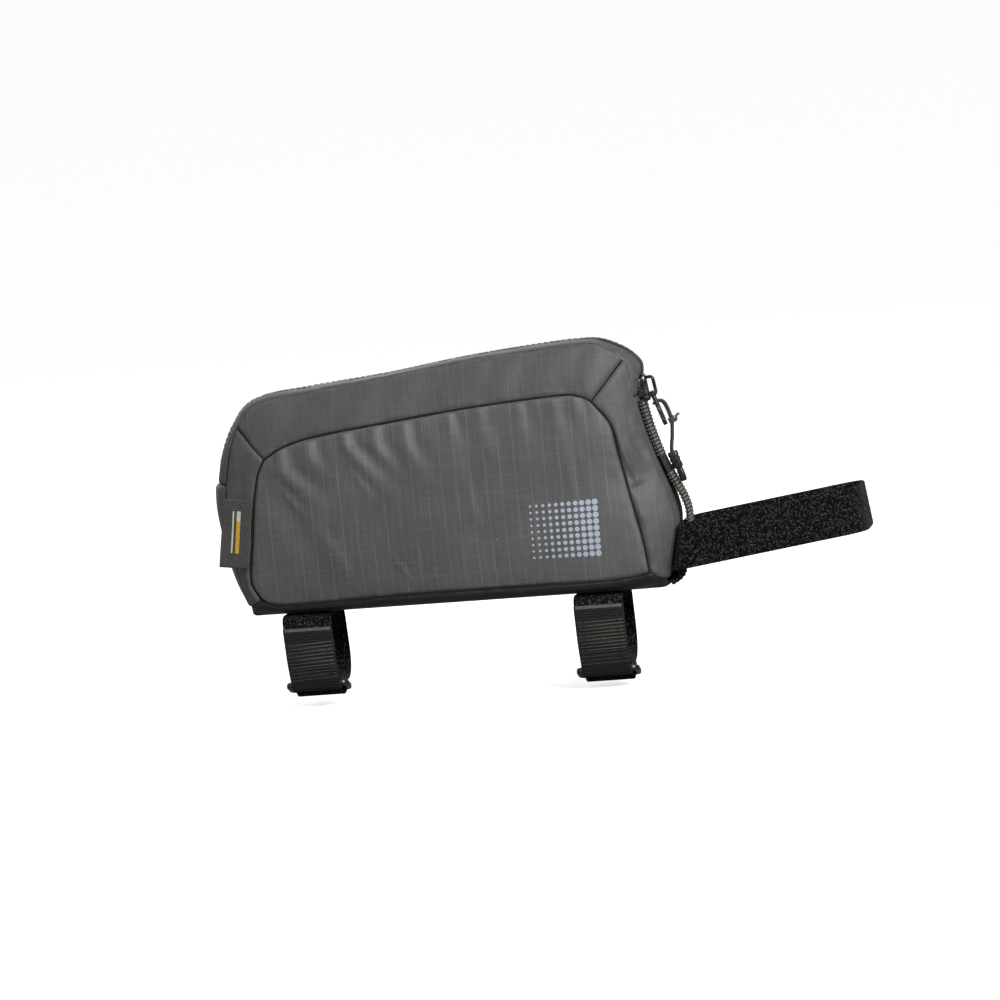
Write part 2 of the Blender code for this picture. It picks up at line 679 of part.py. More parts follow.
def web_line(ring):
    """The middle line of the webbing on the front, from its top end down."""
    top = gusset_rows(ring, LONG_CELLS + ZIP_FRONT_CELLS)[3].z
    low = gusset_rows(ring, LONG_CELLS + TALL_CELLS)[3].z
    room = room_at(ring, STEM_STRAP_UP, STEM_STRAP_WIDTH) + STEM_STRAP_THICK
    line = []
    for down, share in WEB_ROUTE:
        place, out = front_at(ring, top + (low - top) * down)
        line.append(place + out * (GAP + WEB_THICK / 2 + share * room))
    return smooth_line(line, 4)


def add_web(ring, cloth):
    line = web_line(ring)
    rows = [[p + Vector((0, side * WEB_WIDTH / 2, 0)) for p in line] for side in (-1, 1)]
    add_band("front_webbing", *rows, WEB_THICK, cloth)


def add_stem_strap(ring, cloth):
    """The strap round the stem. Its rear run leans as the bag's front does, and the rest rises forwards."""
    along = Vector((math.cos(STEM_STRAP_RISE), 0, math.sin(STEM_STRAP_RISE)))
    up = Vector((-along.z, 0, along.x))
    lift = STEM_STRAP_THICK / 2
    middle = front_at(ring, STEM_STRAP_UP)[0]
    rows = []
    for side in (-1, 1):
        height = STEM_STRAP_UP + side * STEM_STRAP_WIDTH / 2
        place, out = front_at(ring, height)
        rear = (place - middle).dot(along) + room_at(ring, STEM_STRAP_UP, STEM_STRAP_WIDTH) + lift
        front = STEM_DEPTH
        near, far = -STEM_WIDTH / 2, STEM_WIDTH / 2
        rear_turn, front_turn = STEM_REAR_ROUND + lift, STEM_FRONT_ROUND + lift
        outer = STEM_STRAP_THICK + GAP
        line = belt([
            (rear + STEM_OVERLAP, far + lift, 0),
            (rear + rear_turn, far - STEM_REAR_ROUND, rear_turn),
            (rear + rear_turn, near + STEM_REAR_ROUND, rear_turn),
            (front - STEM_FRONT_ROUND, near + STEM_FRONT_ROUND, front_turn),
            (front - STEM_FRONT_ROUND, far - STEM_FRONT_ROUND + outer, front_turn),
            (rear + STEM_REAR_ROUND, far + lift + outer, 0),
        ], math.radians(18))
        edge = middle + up * (side * STEM_STRAP_WIDTH / 2)
        rows.append([edge + along * a + Vector((0, b, 0)) for a, b in line])
    add_band("stem_strap", *rows, STEM_STRAP_THICK, cloth)


def add_label(ring, cloth):
    """The folded label sewn into the seam behind the near side panel."""
    rear = [s for k, s in enumerate(ring) if k >= 2 * LONG_CELLS + TALL_CELLS]
    at = min(rear, key=lambda s: abs(s.seam_z - LABEL_UP))
    above = min(rear, key=lambda s: abs(s.seam_z - LABEL_UP - LABEL_LENGTH / 2))
    lean = math.atan2(above.seam_x - at.seam_x, above.seam_z - at.seam_z)
    size = (LABEL_WIDTH, LABEL_THICK, LABEL_LENGTH)
    mesh = block_mesh("side_label", size, (-LABEL_WIDTH / 2, 0, 0))
    obj = add_object("side_label", mesh, cloth)
    obj.location = (at.seam_x - SEAM_INSET, -at.seam_half - LABEL_THICK - GAP, LABEL_UP)
    obj.rotation_euler = (0, lean, -LABEL_FLARE)
    bevelled(obj, LABEL_THICK * 0.25, 1)


def main():
    ripstop = make_material("ripstop", (0.075, 0.075, 0.078), 0.62)
    coated = make_material("coated_cloth", (0.080, 0.081, 0.086), 0.55)
    base_cloth = make_material("base_cloth", (0.02, 0.02, 0.021), 0.7)
    zip_cloth = make_material("zip_tape", (0.03, 0.03, 0.03), 0.75)
    coil = make_material("zip_coil", (0.02, 0.02, 0.02), 0.5)
    web = make_material("webbing", (0.012, 0.012, 0.012), 0.8)
    grosgrain = make_material("grosgrain", (0.07, 0.066, 0.06), 0.8)
    pile = make_material("hook_and_loop", (0.008, 0.008, 0.008), 0.95)
    plastic = make_material("black_plastic", (0.006, 0.006, 0.006), 0.4)
    metal = make_material("dark_metal", (0.12, 0.115, 0.11), 0.28, 1.0)
    label = make_material("label_weave", (0.045, 0.045, 0.042), 0.8)
    cord_cloth = make_material("cord", (0.07, 0.072, 0.068), 0.85)

    ring = outline()
    skin, panel, names = build_skin(ring)
    cloths = {"side": ripstop, "top": coated, "front": coated, "rear": coated, "base": base_cloth,
              "zip": coated, "zip_tape": zip_cloth}
    add_panels(skin, panel, names, cloths)
    skin.free()
    add_zip_coil(ring, coil)
    frame = add_slider(ring, metal)
    add_pull(frame, metal, cord_cloth, plastic)
    for word, place in STRAPS.items():
        add_tube_strap(word, place, web, plastic)
    add_stem_strap(ring, pile)
    add_web(ring, grosgrain)
    add_label(ring, label)


clear_scene()
PARTS = make_collection("top_tube_bag")
CUTTERS = make_collection("cutters")
main()
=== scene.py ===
import math

import bmesh
import bpy
import numpy as np
from mathutils import Matrix, Vector, noise


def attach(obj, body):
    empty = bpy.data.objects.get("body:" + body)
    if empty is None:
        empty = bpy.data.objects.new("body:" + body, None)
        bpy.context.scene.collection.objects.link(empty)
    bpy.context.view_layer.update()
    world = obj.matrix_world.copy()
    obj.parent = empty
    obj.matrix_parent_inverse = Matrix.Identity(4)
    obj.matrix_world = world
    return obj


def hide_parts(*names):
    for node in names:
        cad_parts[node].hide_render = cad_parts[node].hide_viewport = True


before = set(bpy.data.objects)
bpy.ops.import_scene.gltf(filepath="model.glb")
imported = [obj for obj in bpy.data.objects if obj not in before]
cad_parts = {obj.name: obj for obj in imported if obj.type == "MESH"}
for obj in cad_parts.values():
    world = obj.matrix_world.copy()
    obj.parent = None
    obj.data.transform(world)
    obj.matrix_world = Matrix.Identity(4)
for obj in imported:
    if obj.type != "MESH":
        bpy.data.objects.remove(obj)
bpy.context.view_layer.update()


def newObject(name, data):
    made = bpy.data.objects.new(name, data)
    bpy.context.scene.collection.objects.link(made)
    return made


def tellPiece(obj, body, nodes=()):
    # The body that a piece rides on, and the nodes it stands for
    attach(obj, body)
    if nodes:
        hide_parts(*nodes)
    return obj


def unit(vectors):
    return vectors / np.maximum(np.linalg.norm(vectors, axis=-1, keepdims=True), 1e-12)


# Camera at the photo's angle, and a plain pale studio

cameraLook = {"azimuth": 8.0, "elevation": 4.0, "roll": -4.7, "lens": 200.0, "sensor": 36.0, "clip": (0.05, 60.0),
              "metresAcross": 0.46, "aimRight": 0.01702, "aimUp": 0.046, "nearPlane": 0.022}
studio = {"floorDown": -0.0445, "floorWide": 9.0, "flatShare": 0.6, "wallHigh": 1.6, "rimSteps": 12, "around": 96,
          "seen": (0.93, 0.93, 0.93), "bounced": (0.22, 0.22, 0.22), "roughness": 0.9, "glow": 0.5, "air": 0.55,
          "lampAim": (0, 0, 0.04)}
lamps = {
    "key": {"place": (0.72, -0.92, 0.66), "size": 0.45, "power": 20.0},
    "fill": {"place": (-1.3, -0.9, 0.9), "size": 1.2, "power": 4.0},
    "back": {"place": (-0.8, 1.5, 0.62), "size": 1.7, "power": 14.0},
}


def shaderOf(material):
    return material.node_tree.nodes["Principled BSDF"]


def makeCamera(look):
    azimuth, elevation = math.radians(look["azimuth"]), math.radians(look["elevation"])
    out = Vector((math.sin(azimuth) * math.cos(elevation), -math.cos(azimuth) * math.cos(elevation),
                  math.sin(elevation)))
    turn = (-out).to_track_quat("-Z", "Y").to_matrix() @ Matrix.Rotation(math.radians(look["roll"]), 3, "Z")
    data = bpy.data.cameras.new("photoCamera")
    data.lens, data.sensor_width = look["lens"], look["sensor"]
    data.clip_start, data.clip_end = look["clip"]
    camera = newObject("photoCamera", data)
    distance = look["metresAcross"] * look["lens"] / look["sensor"] + look["nearPlane"]
    right, up = turn @ Vector((1, 0, 0)), turn @ Vector((0, 1, 0))
    camera.location = right * look["aimRight"] + up * look["aimUp"] + out * distance
    camera.rotation_euler = turn.to_euler()
    bpy.context.scene.camera = camera


def makeStudio(look, lampTable):
    paint = bpy.data.materials.new("studioPaint")
    paint.use_nodes = True
    shader = shaderOf(paint)
    shader.inputs["Roughness"].default_value = look["roughness"]
    shader.inputs["Emission Strength"].default_value = look["glow"]
    # The floor is white to the eye, but throws little light up under the bag
    seen = paint.node_tree.nodes.new("ShaderNodeLightPath").outputs["Is Camera Ray"]
    for inlet, dark, pale in (("Base Color", look["bounced"], look["seen"]), ("Emission Color", (0, 0, 0), (1, 1, 1))):
        mixer = paint.node_tree.nodes.new("ShaderNodeMix")
        mixer.data_type = "RGBA"
        mixer.inputs[6].default_value, mixer.inputs[7].default_value = (*dark, 1), (*pale, 1)
        paint.node_tree.links.new(seen, mixer.inputs[0])
        paint.node_tree.links.new(mixer.outputs[2], shader.inputs[inlet])
    # A wide round floor whose rim curves up into a low wall
    flat, around = look["flatShare"], look["around"]
    profile = [(0.0, 0.0), (look["floorWide"] * flat, 0.0)]
    for step in range(1, look["rimSteps"] + 1):
        angle = math.pi / 2 * step / look["rimSteps"]
        profile.append((look["floorWide"] * (flat + (1 - flat) * math.sin(angle)),
                        look["wallHigh"] * (1 - math.cos(angle))))
    verts, faces = [], []
    for reach, up in profile:
        for n in range(around):
            a = math.tau * n / around
            verts.append((reach * math.cos(a), reach * math.sin(a), look["floorDown"] + up))
    for ring in range(len(profile) - 1):
        for n in range(around):
            a, b = ring * around + n, ring * around + (n + 1) % around
            faces.append((a, a + around, b + around, b))
    mesh = bpy.data.meshes.new("studioFloor")
    mesh.from_pydata(verts, [], faces)
    mesh.shade_smooth()
    mesh.materials.append(paint)
    newObject("studioFloor", mesh)
    for name, lamp in lampTable.items():
        data = bpy.data.lights.new(name, "AREA")
        data.energy, data.size = lamp["power"], lamp["size"]
        light = newObject(name, data)
        light.location = lamp["place"]
        light.rotation_euler = (Vector(look["lampAim"]) - light.location).to_track_quat("-Z", "Y").to_euler()
    world = bpy.data.worlds.new("studioAir")
    world.use_nodes = True
    world.node_tree.nodes["Background"].inputs["Color"].default_value = (1, 1, 1, 1)
    world.node_tree.nodes["Background"].inputs["Strength"].default_value = look["air"]
    bpy.context.scene.world = world


bpy.context.scene.view_settings.view_transform = "Standard"
makeCamera(cameraLook)
makeStudio(studio, lamps)
print("camera and studio made")

# Node helpers


class Tree:
    # Short ways to add and join nodes

    def __init__(self, tree):
        self.tree = tree
        self.at = 0

    def add(self, kind, outlet=0, settings=None, **values):
        node = self.tree.nodes.new(kind)
        self.at += 1
        node.location = (180 * (self.at % 12), -200 * (self.at // 12))
        for key, value in (settings or {}).items():
            setattr(node, key, value)
        for key, value in values.items():
            socket = node.inputs[int(key[1:])] if key[0] == "i" and key[1:].isdigit() else node.inputs[key]
            self.put(value, socket)
        return node.outputs[outlet]

    def put(self, value, socket):
        if isinstance(value, bpy.types.NodeSocket):
            self.tree.links.new(value, socket)
        else:
            socket.default_value = value

    def maths(self, operation, a, b=0.0):
        return self.add("ShaderNodeMath", settings={"operation": operation}, i0=a, i1=b)

    def times(self, *values):
        made = values[0]
        for value in values[1:]:
            made = self.maths("MULTIPLY", made, value)
        return made

    def vector(self, operation, a, b=(0, 0, 0), scale=1.0):
        return self.add("ShaderNodeVectorMath", settings={"operation": operation}, i0=a, i1=b, i3=scale)

    def ramp(self, value, low, high, start=0.0, end=1.0, smooth=True):
        kind = "SMOOTHSTEP" if smooth else "LINEAR"
        return self.add("ShaderNodeMapRange", settings={"interpolation_type": kind}, i0=value, i1=low, i2=high,
                        i3=start, i4=end)

    def noise(self, where, scale, detail=2.0, rough=0.5):
        return self.add("ShaderNodeTexNoise", Vector=where, Scale=scale, Detail=detail, Roughness=rough)

    def mix(self, share, a, b, blend="MIX"):
        node = self.tree.nodes.new("ShaderNodeMix")
        node.data_type, node.blend_type = "RGBA", blend
        self.put(share, node.inputs[0])
        self.put(a, node.inputs[6])
        self.put(b, node.inputs[7])
        return node.outputs[2]

    def shaded(self, colour, value):
        grey = self.add("ShaderNodeCombineColor", i0=value, i1=value, i2=value)
        return self.mix(1.0, colour, grey, "MULTIPLY")

    def split(self, where):
        node = self.tree.nodes.new("ShaderNodeSeparateXYZ")
        self.tree.links.new(where, node.inputs[0])
        return node.outputs

    def join(self, x, y, z=0.0):
        return self.add("ShaderNodeCombineXYZ", i0=x, i1=y, i2=z)


def newGroup(name, inputs, outputs):
    group = bpy.data.node_groups.new(name, "ShaderNodeTree")
    for label, value in inputs.items():
        kind = "NodeSocketFloat" if isinstance(value, (int, float)) else "NodeSocketVector"
        socket = group.interface.new_socket(label, in_out="INPUT", socket_type=kind)
        socket.default_value = value
    for label, kind in outputs.items():
        group.interface.new_socket(label, in_out="OUTPUT", socket_type=kind)
    tree = Tree(group)
    inlet = group.nodes.new("NodeGroupInput").outputs
    outlet = group.nodes.new("NodeGroupOutput").inputs
    return group, tree, inlet, outlet


def useGroup(tree, group, **values):
    node = tree.tree.nodes.new("ShaderNodeGroup")
    node.node_tree = group
    for key, value in values.items():
        tree.put(value, node.inputs[key])
    return node.outputs


weaveLook = {"gridX": 0.00686, "gridY": 0.0072, "thread": 0.00042, "bendScale": 60.0, "bend": 0.0004,
             "lineEdges": (0.00012, 0.00058), "levelShare": 0.42, "fineShare": 0.3, "weaveShare": 0.25}


def makeWeaveGroup():
    # Plain weave with a ripstop grid: x and y are metres over the cloth
    look = weaveLook
    group, tree, inlet, outlet = newGroup(
        "wovenCloth", {"place": (0, 0, 0), "gridX": look["gridX"], "gridY": look["gridY"], "thread": look["thread"],
                       "gridStrength": 1.0},
        {"height": "NodeSocketFloat", "tone": "NodeSocketFloat", "fibre": "NodeSocketFloat"})
    wander = tree.vector("SCALE", tree.noise(inlet["place"], look["bendScale"]), scale=look["bend"])
    x, y = tree.split(tree.vector("ADD", inlet["place"], wander))[:2]

    def streaks(overX, overY, detail):
        return tree.noise(tree.join(tree.times(x, overX), tree.times(y, overY)), 1.0, detail)

    lined = None
    for value, grid, strength in ((x, inlet["gridX"], 1.0), (y, inlet["gridY"], look["levelShare"])):
        for share, part in ((0.5, 1.0), (0.25, look["fineShare"])):
            near = tree.maths("PINGPONG", value, tree.times(grid, share))
            line = tree.times(tree.ramp(near, *look["lineEdges"], 1.0, 0.0), strength * part)
            lined = line if lined is None else tree.maths("MAXIMUM", lined, line)
    patchy = tree.ramp(streaks(260.0, 40.0, 2.0), 0.3, 0.7, 0.35, 1.0)
    grid = tree.times(lined, tree.times(inlet["gridStrength"], patchy))
    pitch = tree.maths("DIVIDE", math.tau, inlet["thread"])
    weave = tree.times(tree.maths("SINE", tree.times(x, pitch)), tree.maths("SINE", tree.times(y, pitch)))
    slub = tree.maths("ADD", tree.times(streaks(1500.0, 70.0, 3.0), 0.6), tree.times(streaks(70.0, 1500.0, 3.0), 0.4))
    tree.put(tree.maths("ADD", tree.times(weave, look["weaveShare"]), grid), outlet["height"])
    tree.put(grid, outlet["tone"])
    tree.put(slub, outlet["fibre"])
    return group


def makeWearGroup():
    # Soft patches, sparse lint, the dark seam and rubbed rims, from object places
    group, tree, inlet, outlet = newGroup(
        "wornCloth", {"place": (0, 0, 0), "rim": 1.0},
        {"patch": "NodeSocketFloat", "lint": "NodeSocketFloat", "seam": "NodeSocketFloat", "scuff": "NodeSocketFloat"})
    dots = tree.add("ShaderNodeTexVoronoi", Vector=inlet["place"], Scale=130.0, Randomness=1.0)
    rare = tree.ramp(tree.noise(inlet["place"], 70.0, 1.0), 0.62, 0.68)
    nearRim = tree.ramp(inlet["rim"], 0.001, 0.0042, 1.0, 0.0)
    rubbed = tree.ramp(tree.noise(inlet["place"], 160.0, 3.0, 0.7), 0.42, 0.72)
    for name, value in {"patch": tree.ramp(tree.noise(inlet["place"], 22.0, 4.0, 0.6), 0.3, 0.75),
                        "lint": tree.times(tree.ramp(dots, 0.05, 0.09, 1.0, 0.0), rare),
                        "seam": tree.ramp(inlet["rim"], 0.0, 0.0007, 1.0, 0.0),
                        "scuff": tree.times(nearRim, rubbed)}.items():
        tree.put(value, outlet[name])
    return group


def startFinish(name, roughness, specular=0.22, metallic=0.0, sheen=0.0):
    made = bpy.data.materials.new(name)
    made.use_nodes = True
    for label, value in (("Roughness", roughness), ("Metallic", metallic), ("Sheen Weight", sheen),
                         ("Specular IOR Level", specular)):
        shaderOf(made).inputs[label].default_value = value
    place = made.node_tree.nodes.new("ShaderNodeTexCoord").outputs["Object"]
    return made, Tree(made.node_tree), place


def endFinish(made, tree, colour, height, strength, distance, roughness=None):
    inlet = shaderOf(made).inputs
    tree.put(colour, inlet["Base Color"])
    tree.put(tree.add("ShaderNodeBump", Height=height, Strength=strength, Distance=distance), inlet["Normal"])
    if roughness is not None:
        tree.put(roughness, inlet["Roughness"])
    return made


weaveGroup = makeWeaveGroup()
wearGroup = makeWearGroup()

clothLooks = {
    "ripstopCloth": {"colour": (0.070, 0.0685, 0.068), "line": (0.130, 0.127, 0.125), "gridStrength": 0.42,
                     "roughness": 0.52, "sheen": 0.08, "bump": 0.3, "rub": 0.28, "print": True},
    "coatedCloth": {"colour": (0.058, 0.058, 0.0615), "line": (0.094, 0.094, 0.099), "gridStrength": 0.25,
                    "roughness": 0.54, "sheen": 0.06, "bump": 0.2, "rub": 0.2, "print": False},
    "baseCloth": {"colour": (0.0065, 0.0065, 0.0068), "line": (0.012, 0.012, 0.012), "gridStrength": 0.2,
                  "roughness": 0.5, "sheen": 0.03, "bump": 0.25, "rub": 0.04, "print": False},
}
clothCommon = {"specular": 0.3, "sheenRoughness": 0.45, "rubbed": (0.15, 0.148, 0.145, 1), "lint": (0.4, 0.39, 0.37, 1),
               "lintShare": 0.35, "seam": (0.004, 0.004, 0.004, 1), "seamShare": 0.93, "bumpDeep": 0.00018}
# A field of small reflective dots, which shrink towards the rear
printLook = {"centreX": 0.0532, "centreZ": 0.0309, "wide": 0.03256, "tall": 0.02664, "pitch": 0.00296,
             "big": 0.00138, "small": 0.0005, "soft": 0.00006, "gloss": 0.18, "colour": (0.30, 0.335, 0.405)}


def makeCloth(name, look):
    made, tree, place = startFinish(name, look["roughness"], clothCommon["specular"], sheen=look["sheen"])
    shaderOf(made).inputs["Sheen Roughness"].default_value = clothCommon["sheenRoughness"]
    rim = tree.add("ShaderNodeAttribute", outlet=2, settings={"attribute_name": "rim"})
    weave = useGroup(tree, weaveGroup, place=tree.add("ShaderNodeUVMap"), gridStrength=look["gridStrength"])
    wear = useGroup(tree, wearGroup, place=place, rim=rim)
    base = tree.mix(weave["tone"], (*look["colour"], 1), (*look["line"], 1))
    base = tree.shaded(base, tree.ramp(weave["fibre"], 0.3, 0.7, 0.80, 1.22, smooth=False))
    base = tree.shaded(base, tree.ramp(wear["patch"], 0.0, 1.0, 0.90, 1.08))
    base = tree.mix(tree.times(wear["scuff"], look["rub"]), base, clothCommon["rubbed"])
    base = tree.mix(tree.times(wear["lint"], clothCommon["lintShare"]), base, clothCommon["lint"])
    rough = tree.ramp(wear["patch"], 0.0, 1.0, look["roughness"] - 0.05, look["roughness"] + 0.06)
    if look["print"]:
        mask = printMask(tree, place)
        base = tree.mix(mask, base, (*printLook["colour"], 1))
        rough = tree.maths("SUBTRACT", rough, tree.times(mask, printLook["gloss"]))
    base = tree.mix(tree.times(wear["seam"], clothCommon["seamShare"]), base, clothCommon["seam"])
    return endFinish(made, tree, base, weave["height"], look["bump"], clothCommon["bumpDeep"], rough)


def printMask(tree, place):
    x, y, z = tree.split(place)
    pitch, soft, wide, tall = printLook["pitch"], printLook["soft"], printLook["wide"] / 2, printLook["tall"] / 2
    gaps, inside = [], []
    places = [tree.maths("SUBTRACT", x, printLook["centreX"]), tree.maths("SUBTRACT", z, printLook["centreZ"])]
    for value, half in zip(places, (wide, tall)):
        # The dots lie in the middles of the field's cells, and the cells are counted from outside the bag
        near = tree.maths("PINGPONG", tree.maths("ADD", value, pitch / 2 + pitch * 40), pitch / 2)
        gaps.append(tree.maths("SUBTRACT", near, pitch / 2))
        inside.append(tree.ramp(tree.maths("ABSOLUTE", value), half - 0.00005, half, 1.0, 0.0))
    far = tree.maths("SQRT", tree.maths("ADD", tree.times(gaps[0], gaps[0]), tree.times(gaps[1], gaps[1])))
    radius = tree.ramp(places[0], -wide, wide, printLook["small"], printLook["big"], smooth=False)
    dot = tree.ramp(tree.maths("SUBTRACT", far, radius), -soft, soft, 1.0, 0.0)
    return tree.times(dot, *inside, tree.maths("LESS_THAN", y, -0.01))


cloths = {name: makeCloth(name, look) for name, look in clothLooks.items()}

# The sewn body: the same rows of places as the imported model's, read more finely

bodySizes = {"length": 0.214, "height": 0.115, "seamHalf": 0.0245, "edgeHalf": 0.016, "sideCrown": 0.0042,
             "bandCrown": 0.0011, "gussetCrown": 0.0065, "wall": 0.0016, "seamInset": 0.00018, "zipHalf": 0.006,
             "longCells": 26, "tallCells": 14, "zipFront": 3, "zipRear": 4}
# Each row: seam x and z, edge x and z, seam half width, edge half width and crown, all as shares of the sizes above
rearTop = (-0.395, 0.631, -0.455, 0.766, 0.84, 0.84, 0.66)
frontTop = (0.325, 0.767, 0.396, 0.922, 0.90, 0.85, 0.36)
frontLow = (0.422, 0.070, 0.456, 0.037, 0.93, 1.05, 0.12)
rearLow = (-0.425, 0.066, -0.456, 0.040, 0.84, 0.95, 0.30)
outlineRows = {
    "top": [rearTop, (-0.341, 0.683, -0.409, 0.856, 0.88, 0.88, 0.52), (-0.257, 0.716, -0.299, 0.887, 0.92, 0.94, 0.42),
            (-0.102, 0.749, -0.131, 0.923, 0.95, 0.97, 0.26), (0.039, 0.777, 0.037, 0.965, 0.96, 1.00, 0.24),
            (0.173, 0.795, 0.189, 0.988, 0.96, 1.00, 0.32), (0.269, 0.802, 0.290, 1.000, 0.94, 0.97, 0.30),
            (0.302, 0.791, 0.346, 0.990, 0.92, 0.92, 0.28), frontTop],
    "front": [frontTop, (0.362, 0.675, 0.408, 0.849, 0.88, 0.82, 0.42), (0.376, 0.552, 0.418, 0.722, 0.89, 0.82, 0.14),
              (0.386, 0.447, 0.447, 0.526, 0.90, 0.84, 0.14), (0.399, 0.335, 0.476, 0.370, 0.92, 0.88, 0.12),
              (0.412, 0.217, 0.484, 0.248, 0.94, 0.95, 0.10), frontLow],
    "low": [frontLow, (0.341, 0.051, 0.366, 0.010, 0.98, 1.25, 0.15), (0.153, 0.051, 0.153, 0.010, 1.00, 1.30, 0.15),
            (-0.079, 0.051, -0.079, 0.010, 1.00, 1.30, 0.15), (-0.290, 0.043, -0.290, 0.010, 0.97, 1.25, 0.15),
            (-0.389, 0.043, -0.412, 0.013, 0.90, 1.10, 0.20), rearLow],
    "rear": [rearLow, (-0.445, 0.148, -0.475, 0.157, 0.84, 0.86, 0.65),
             (-0.436, 0.304, -0.488, 0.322, 0.85, 0.82, 0.90),
             (-0.426, 0.447, -0.493, 0.470, 0.85, 0.80, 1.00), (-0.411, 0.570, -0.481, 0.635, 0.85, 0.80, 0.92),
             rearTop],
}
# Soft folds: place x and z, half length and half width as shares, direction in degrees, depth in metres
softFolds = [
    (0.400, 0.445, 0.040, 0.075, 20, 0.0017), (0.372, 0.600, 0.075, 0.040, 115, -0.0012),
    (0.415, 0.240, 0.080, 0.045, 100, -0.0009), (-0.335, 0.385, 0.110, 0.060, 118, 0.0010),
    (-0.290, 0.330, 0.110, 0.050, 118, -0.0007), (0.060, 0.560, 0.120, 0.060, 95, 0.0006),
    (-0.455, 0.520, 0.090, 0.035, 85, 0.0009),
]


def between(p, q, r, s, t):
    # A smooth curve from q to r, where p comes before them and s after
    return 0.5 * (2 * q + (r - p) * t + (2 * p - 5 * q + 4 * r - s) * t * t + (3 * q - p - 3 * r + s) * t ** 3)


def readRows(rows, share, before=None, after=None):
    # Columns of a smooth curve through the rows, at shares of its run
    rows = np.array(rows, float)
    share = np.atleast_1d(np.asarray(share, float))
    spans = np.hypot(*(np.diff(rows[:, 0:2], axis=0).T)) + np.hypot(*(np.diff(rows[:, 2:4], axis=0).T))
    ends = np.vstack([rows[:1] if before is None else [before], rows, rows[-1:] if after is None else [after]])
    starts = np.concatenate([[0], np.cumsum(spans)])
    left = np.clip(share, 0, 1) * starts[-1]
    at = np.clip(np.searchsorted(starts[1:], left, side="left"), 0, len(spans) - 1)
    t = ((left - starts[at]) / spans[at])[:, None]
    return between(ends[at], ends[at + 1], ends[at + 2], ends[at + 3], t)


def stationsAt(side, share):
    # Seam and edge columns in metres. Seams turn sharply at the corners, and the edge runs round the top ones
    before = {"top": outlineRows["rear"][-2], "front": outlineRows["top"][-2]}.get(side)
    after = {"top": outlineRows["front"][1], "rear": outlineRows["top"][1]}.get(side)
    sharp = readRows(outlineRows[side], share)
    smooth = readRows(outlineRows[side], share, before, after)
    scale = np.array([bodySizes[name] for name in ("length", "height", "length", "height", "seamHalf", "edgeHalf",
                                                   "gussetCrown")])
    return np.where([True, True, False, False, True, False, False], sharp, smooth) * scale


def seamPlaces(row, side, deep=0.0):
    return np.stack([row[:, 0], side * (row[:, 4] - deep), row[:, 1]], axis=1)


def edgePlaces(row, side):
    return np.stack([row[:, 2], side * row[:, 5], row[:, 3]], axis=1)


def ringAt(k):
    # Stations round the bag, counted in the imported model's cells from the rear top corner forwards
    n, m = bodySizes["longCells"], bodySizes["tallCells"]
    k = np.atleast_1d(np.asarray(k, float)) % (2 * n + 2 * m)
    out = np.zeros((len(k), 7))
    for side, start, cells in (("top", 0, n), ("front", n, m), ("low", n + m, n), ("rear", 2 * n + m, m)):
        inside = (k >= start) & (k <= start + cells)
        if inside.any():
            out[inside] = stationsAt(side, (k[inside] - start) / cells)
    return out


def outwardAt(k, step=0.9):
    along = ringAt(np.asarray(k) + step) - ringAt(np.asarray(k) - step)
    along = unit(along[:, 2:4])
    return np.stack([-along[:, 1], along[:, 0]], axis=1)


def leanOut(out, side):
    # Out of the bag and sideways, for what bulges at its corners
    return np.stack([out[:, 0] * 0.6, np.full(len(out), side * 0.8), out[:, 1] * 0.6], axis=1)


def fineSteps(count, span, roll=0.0028, extra=5):
    # Shares from 0 to 1 with more of them near both ends, where the cloth rolls into its seams
    near = np.linspace(0, 1, extra + 1)[:-1] ** 1.3 * (roll / span)
    middle = np.linspace(roll / span, 1 - roll / span, max(count, 2))
    return np.concatenate([near, middle, (1 - near)[::-1]])


# How many steps a panel has each way, and roughly how long it is that way in metres
panelSteps = {"side": ((150, 0.19), (78, 0.08)), "top": ((150, 0.19), (26, 0.018)),
              "front": ((84, 0.085), (22, 0.018)), "rear": ((84, 0.085), (20, 0.018)),
              "zipPanel": ((230, 0.25), (12, 0.01)),
              "endPanel": ((70, 0.08), (34, 0.032)), "base": ((120, 0.19), (60, 0.055))}


def stepsOf(panel):
    return [fineSteps(*steps) for steps in panelSteps[panel]]


def turned(x, z, degrees):
    # The same step along a direction and across it
    turn = math.radians(degrees)
    return x * math.cos(turn) + z * math.sin(turn), z * math.cos(turn) - x * math.sin(turn)


def foldPush(x, z):
    push = np.zeros_like(x)
    for atX, atZ, long, wide, toward, depth in softFolds:
        along, across = turned(x - atX * bodySizes["length"], z - atZ * bodySizes["height"], toward)
        push += depth * np.exp(-(along / (long * bodySizes["length"])) ** 2
                               - (across / (wide * bodySizes["height"])) ** 2)
    return push


def layCloth(mesh, uv, rim):
    # Cloth coordinates and the distance from the seam, both given for each vertex
    corner = np.zeros(len(mesh.loops), np.int32)
    mesh.loops.foreach_get("vertex_index", corner)
    mesh.uv_layers.new(name="UVMap").data.foreach_set("uv", np.array(uv, np.float32)[corner].ravel())
    if rim is not None:
        mesh.attributes.new("rim", "FLOAT", "POINT").data.foreach_set("value", np.array(rim, np.float32))


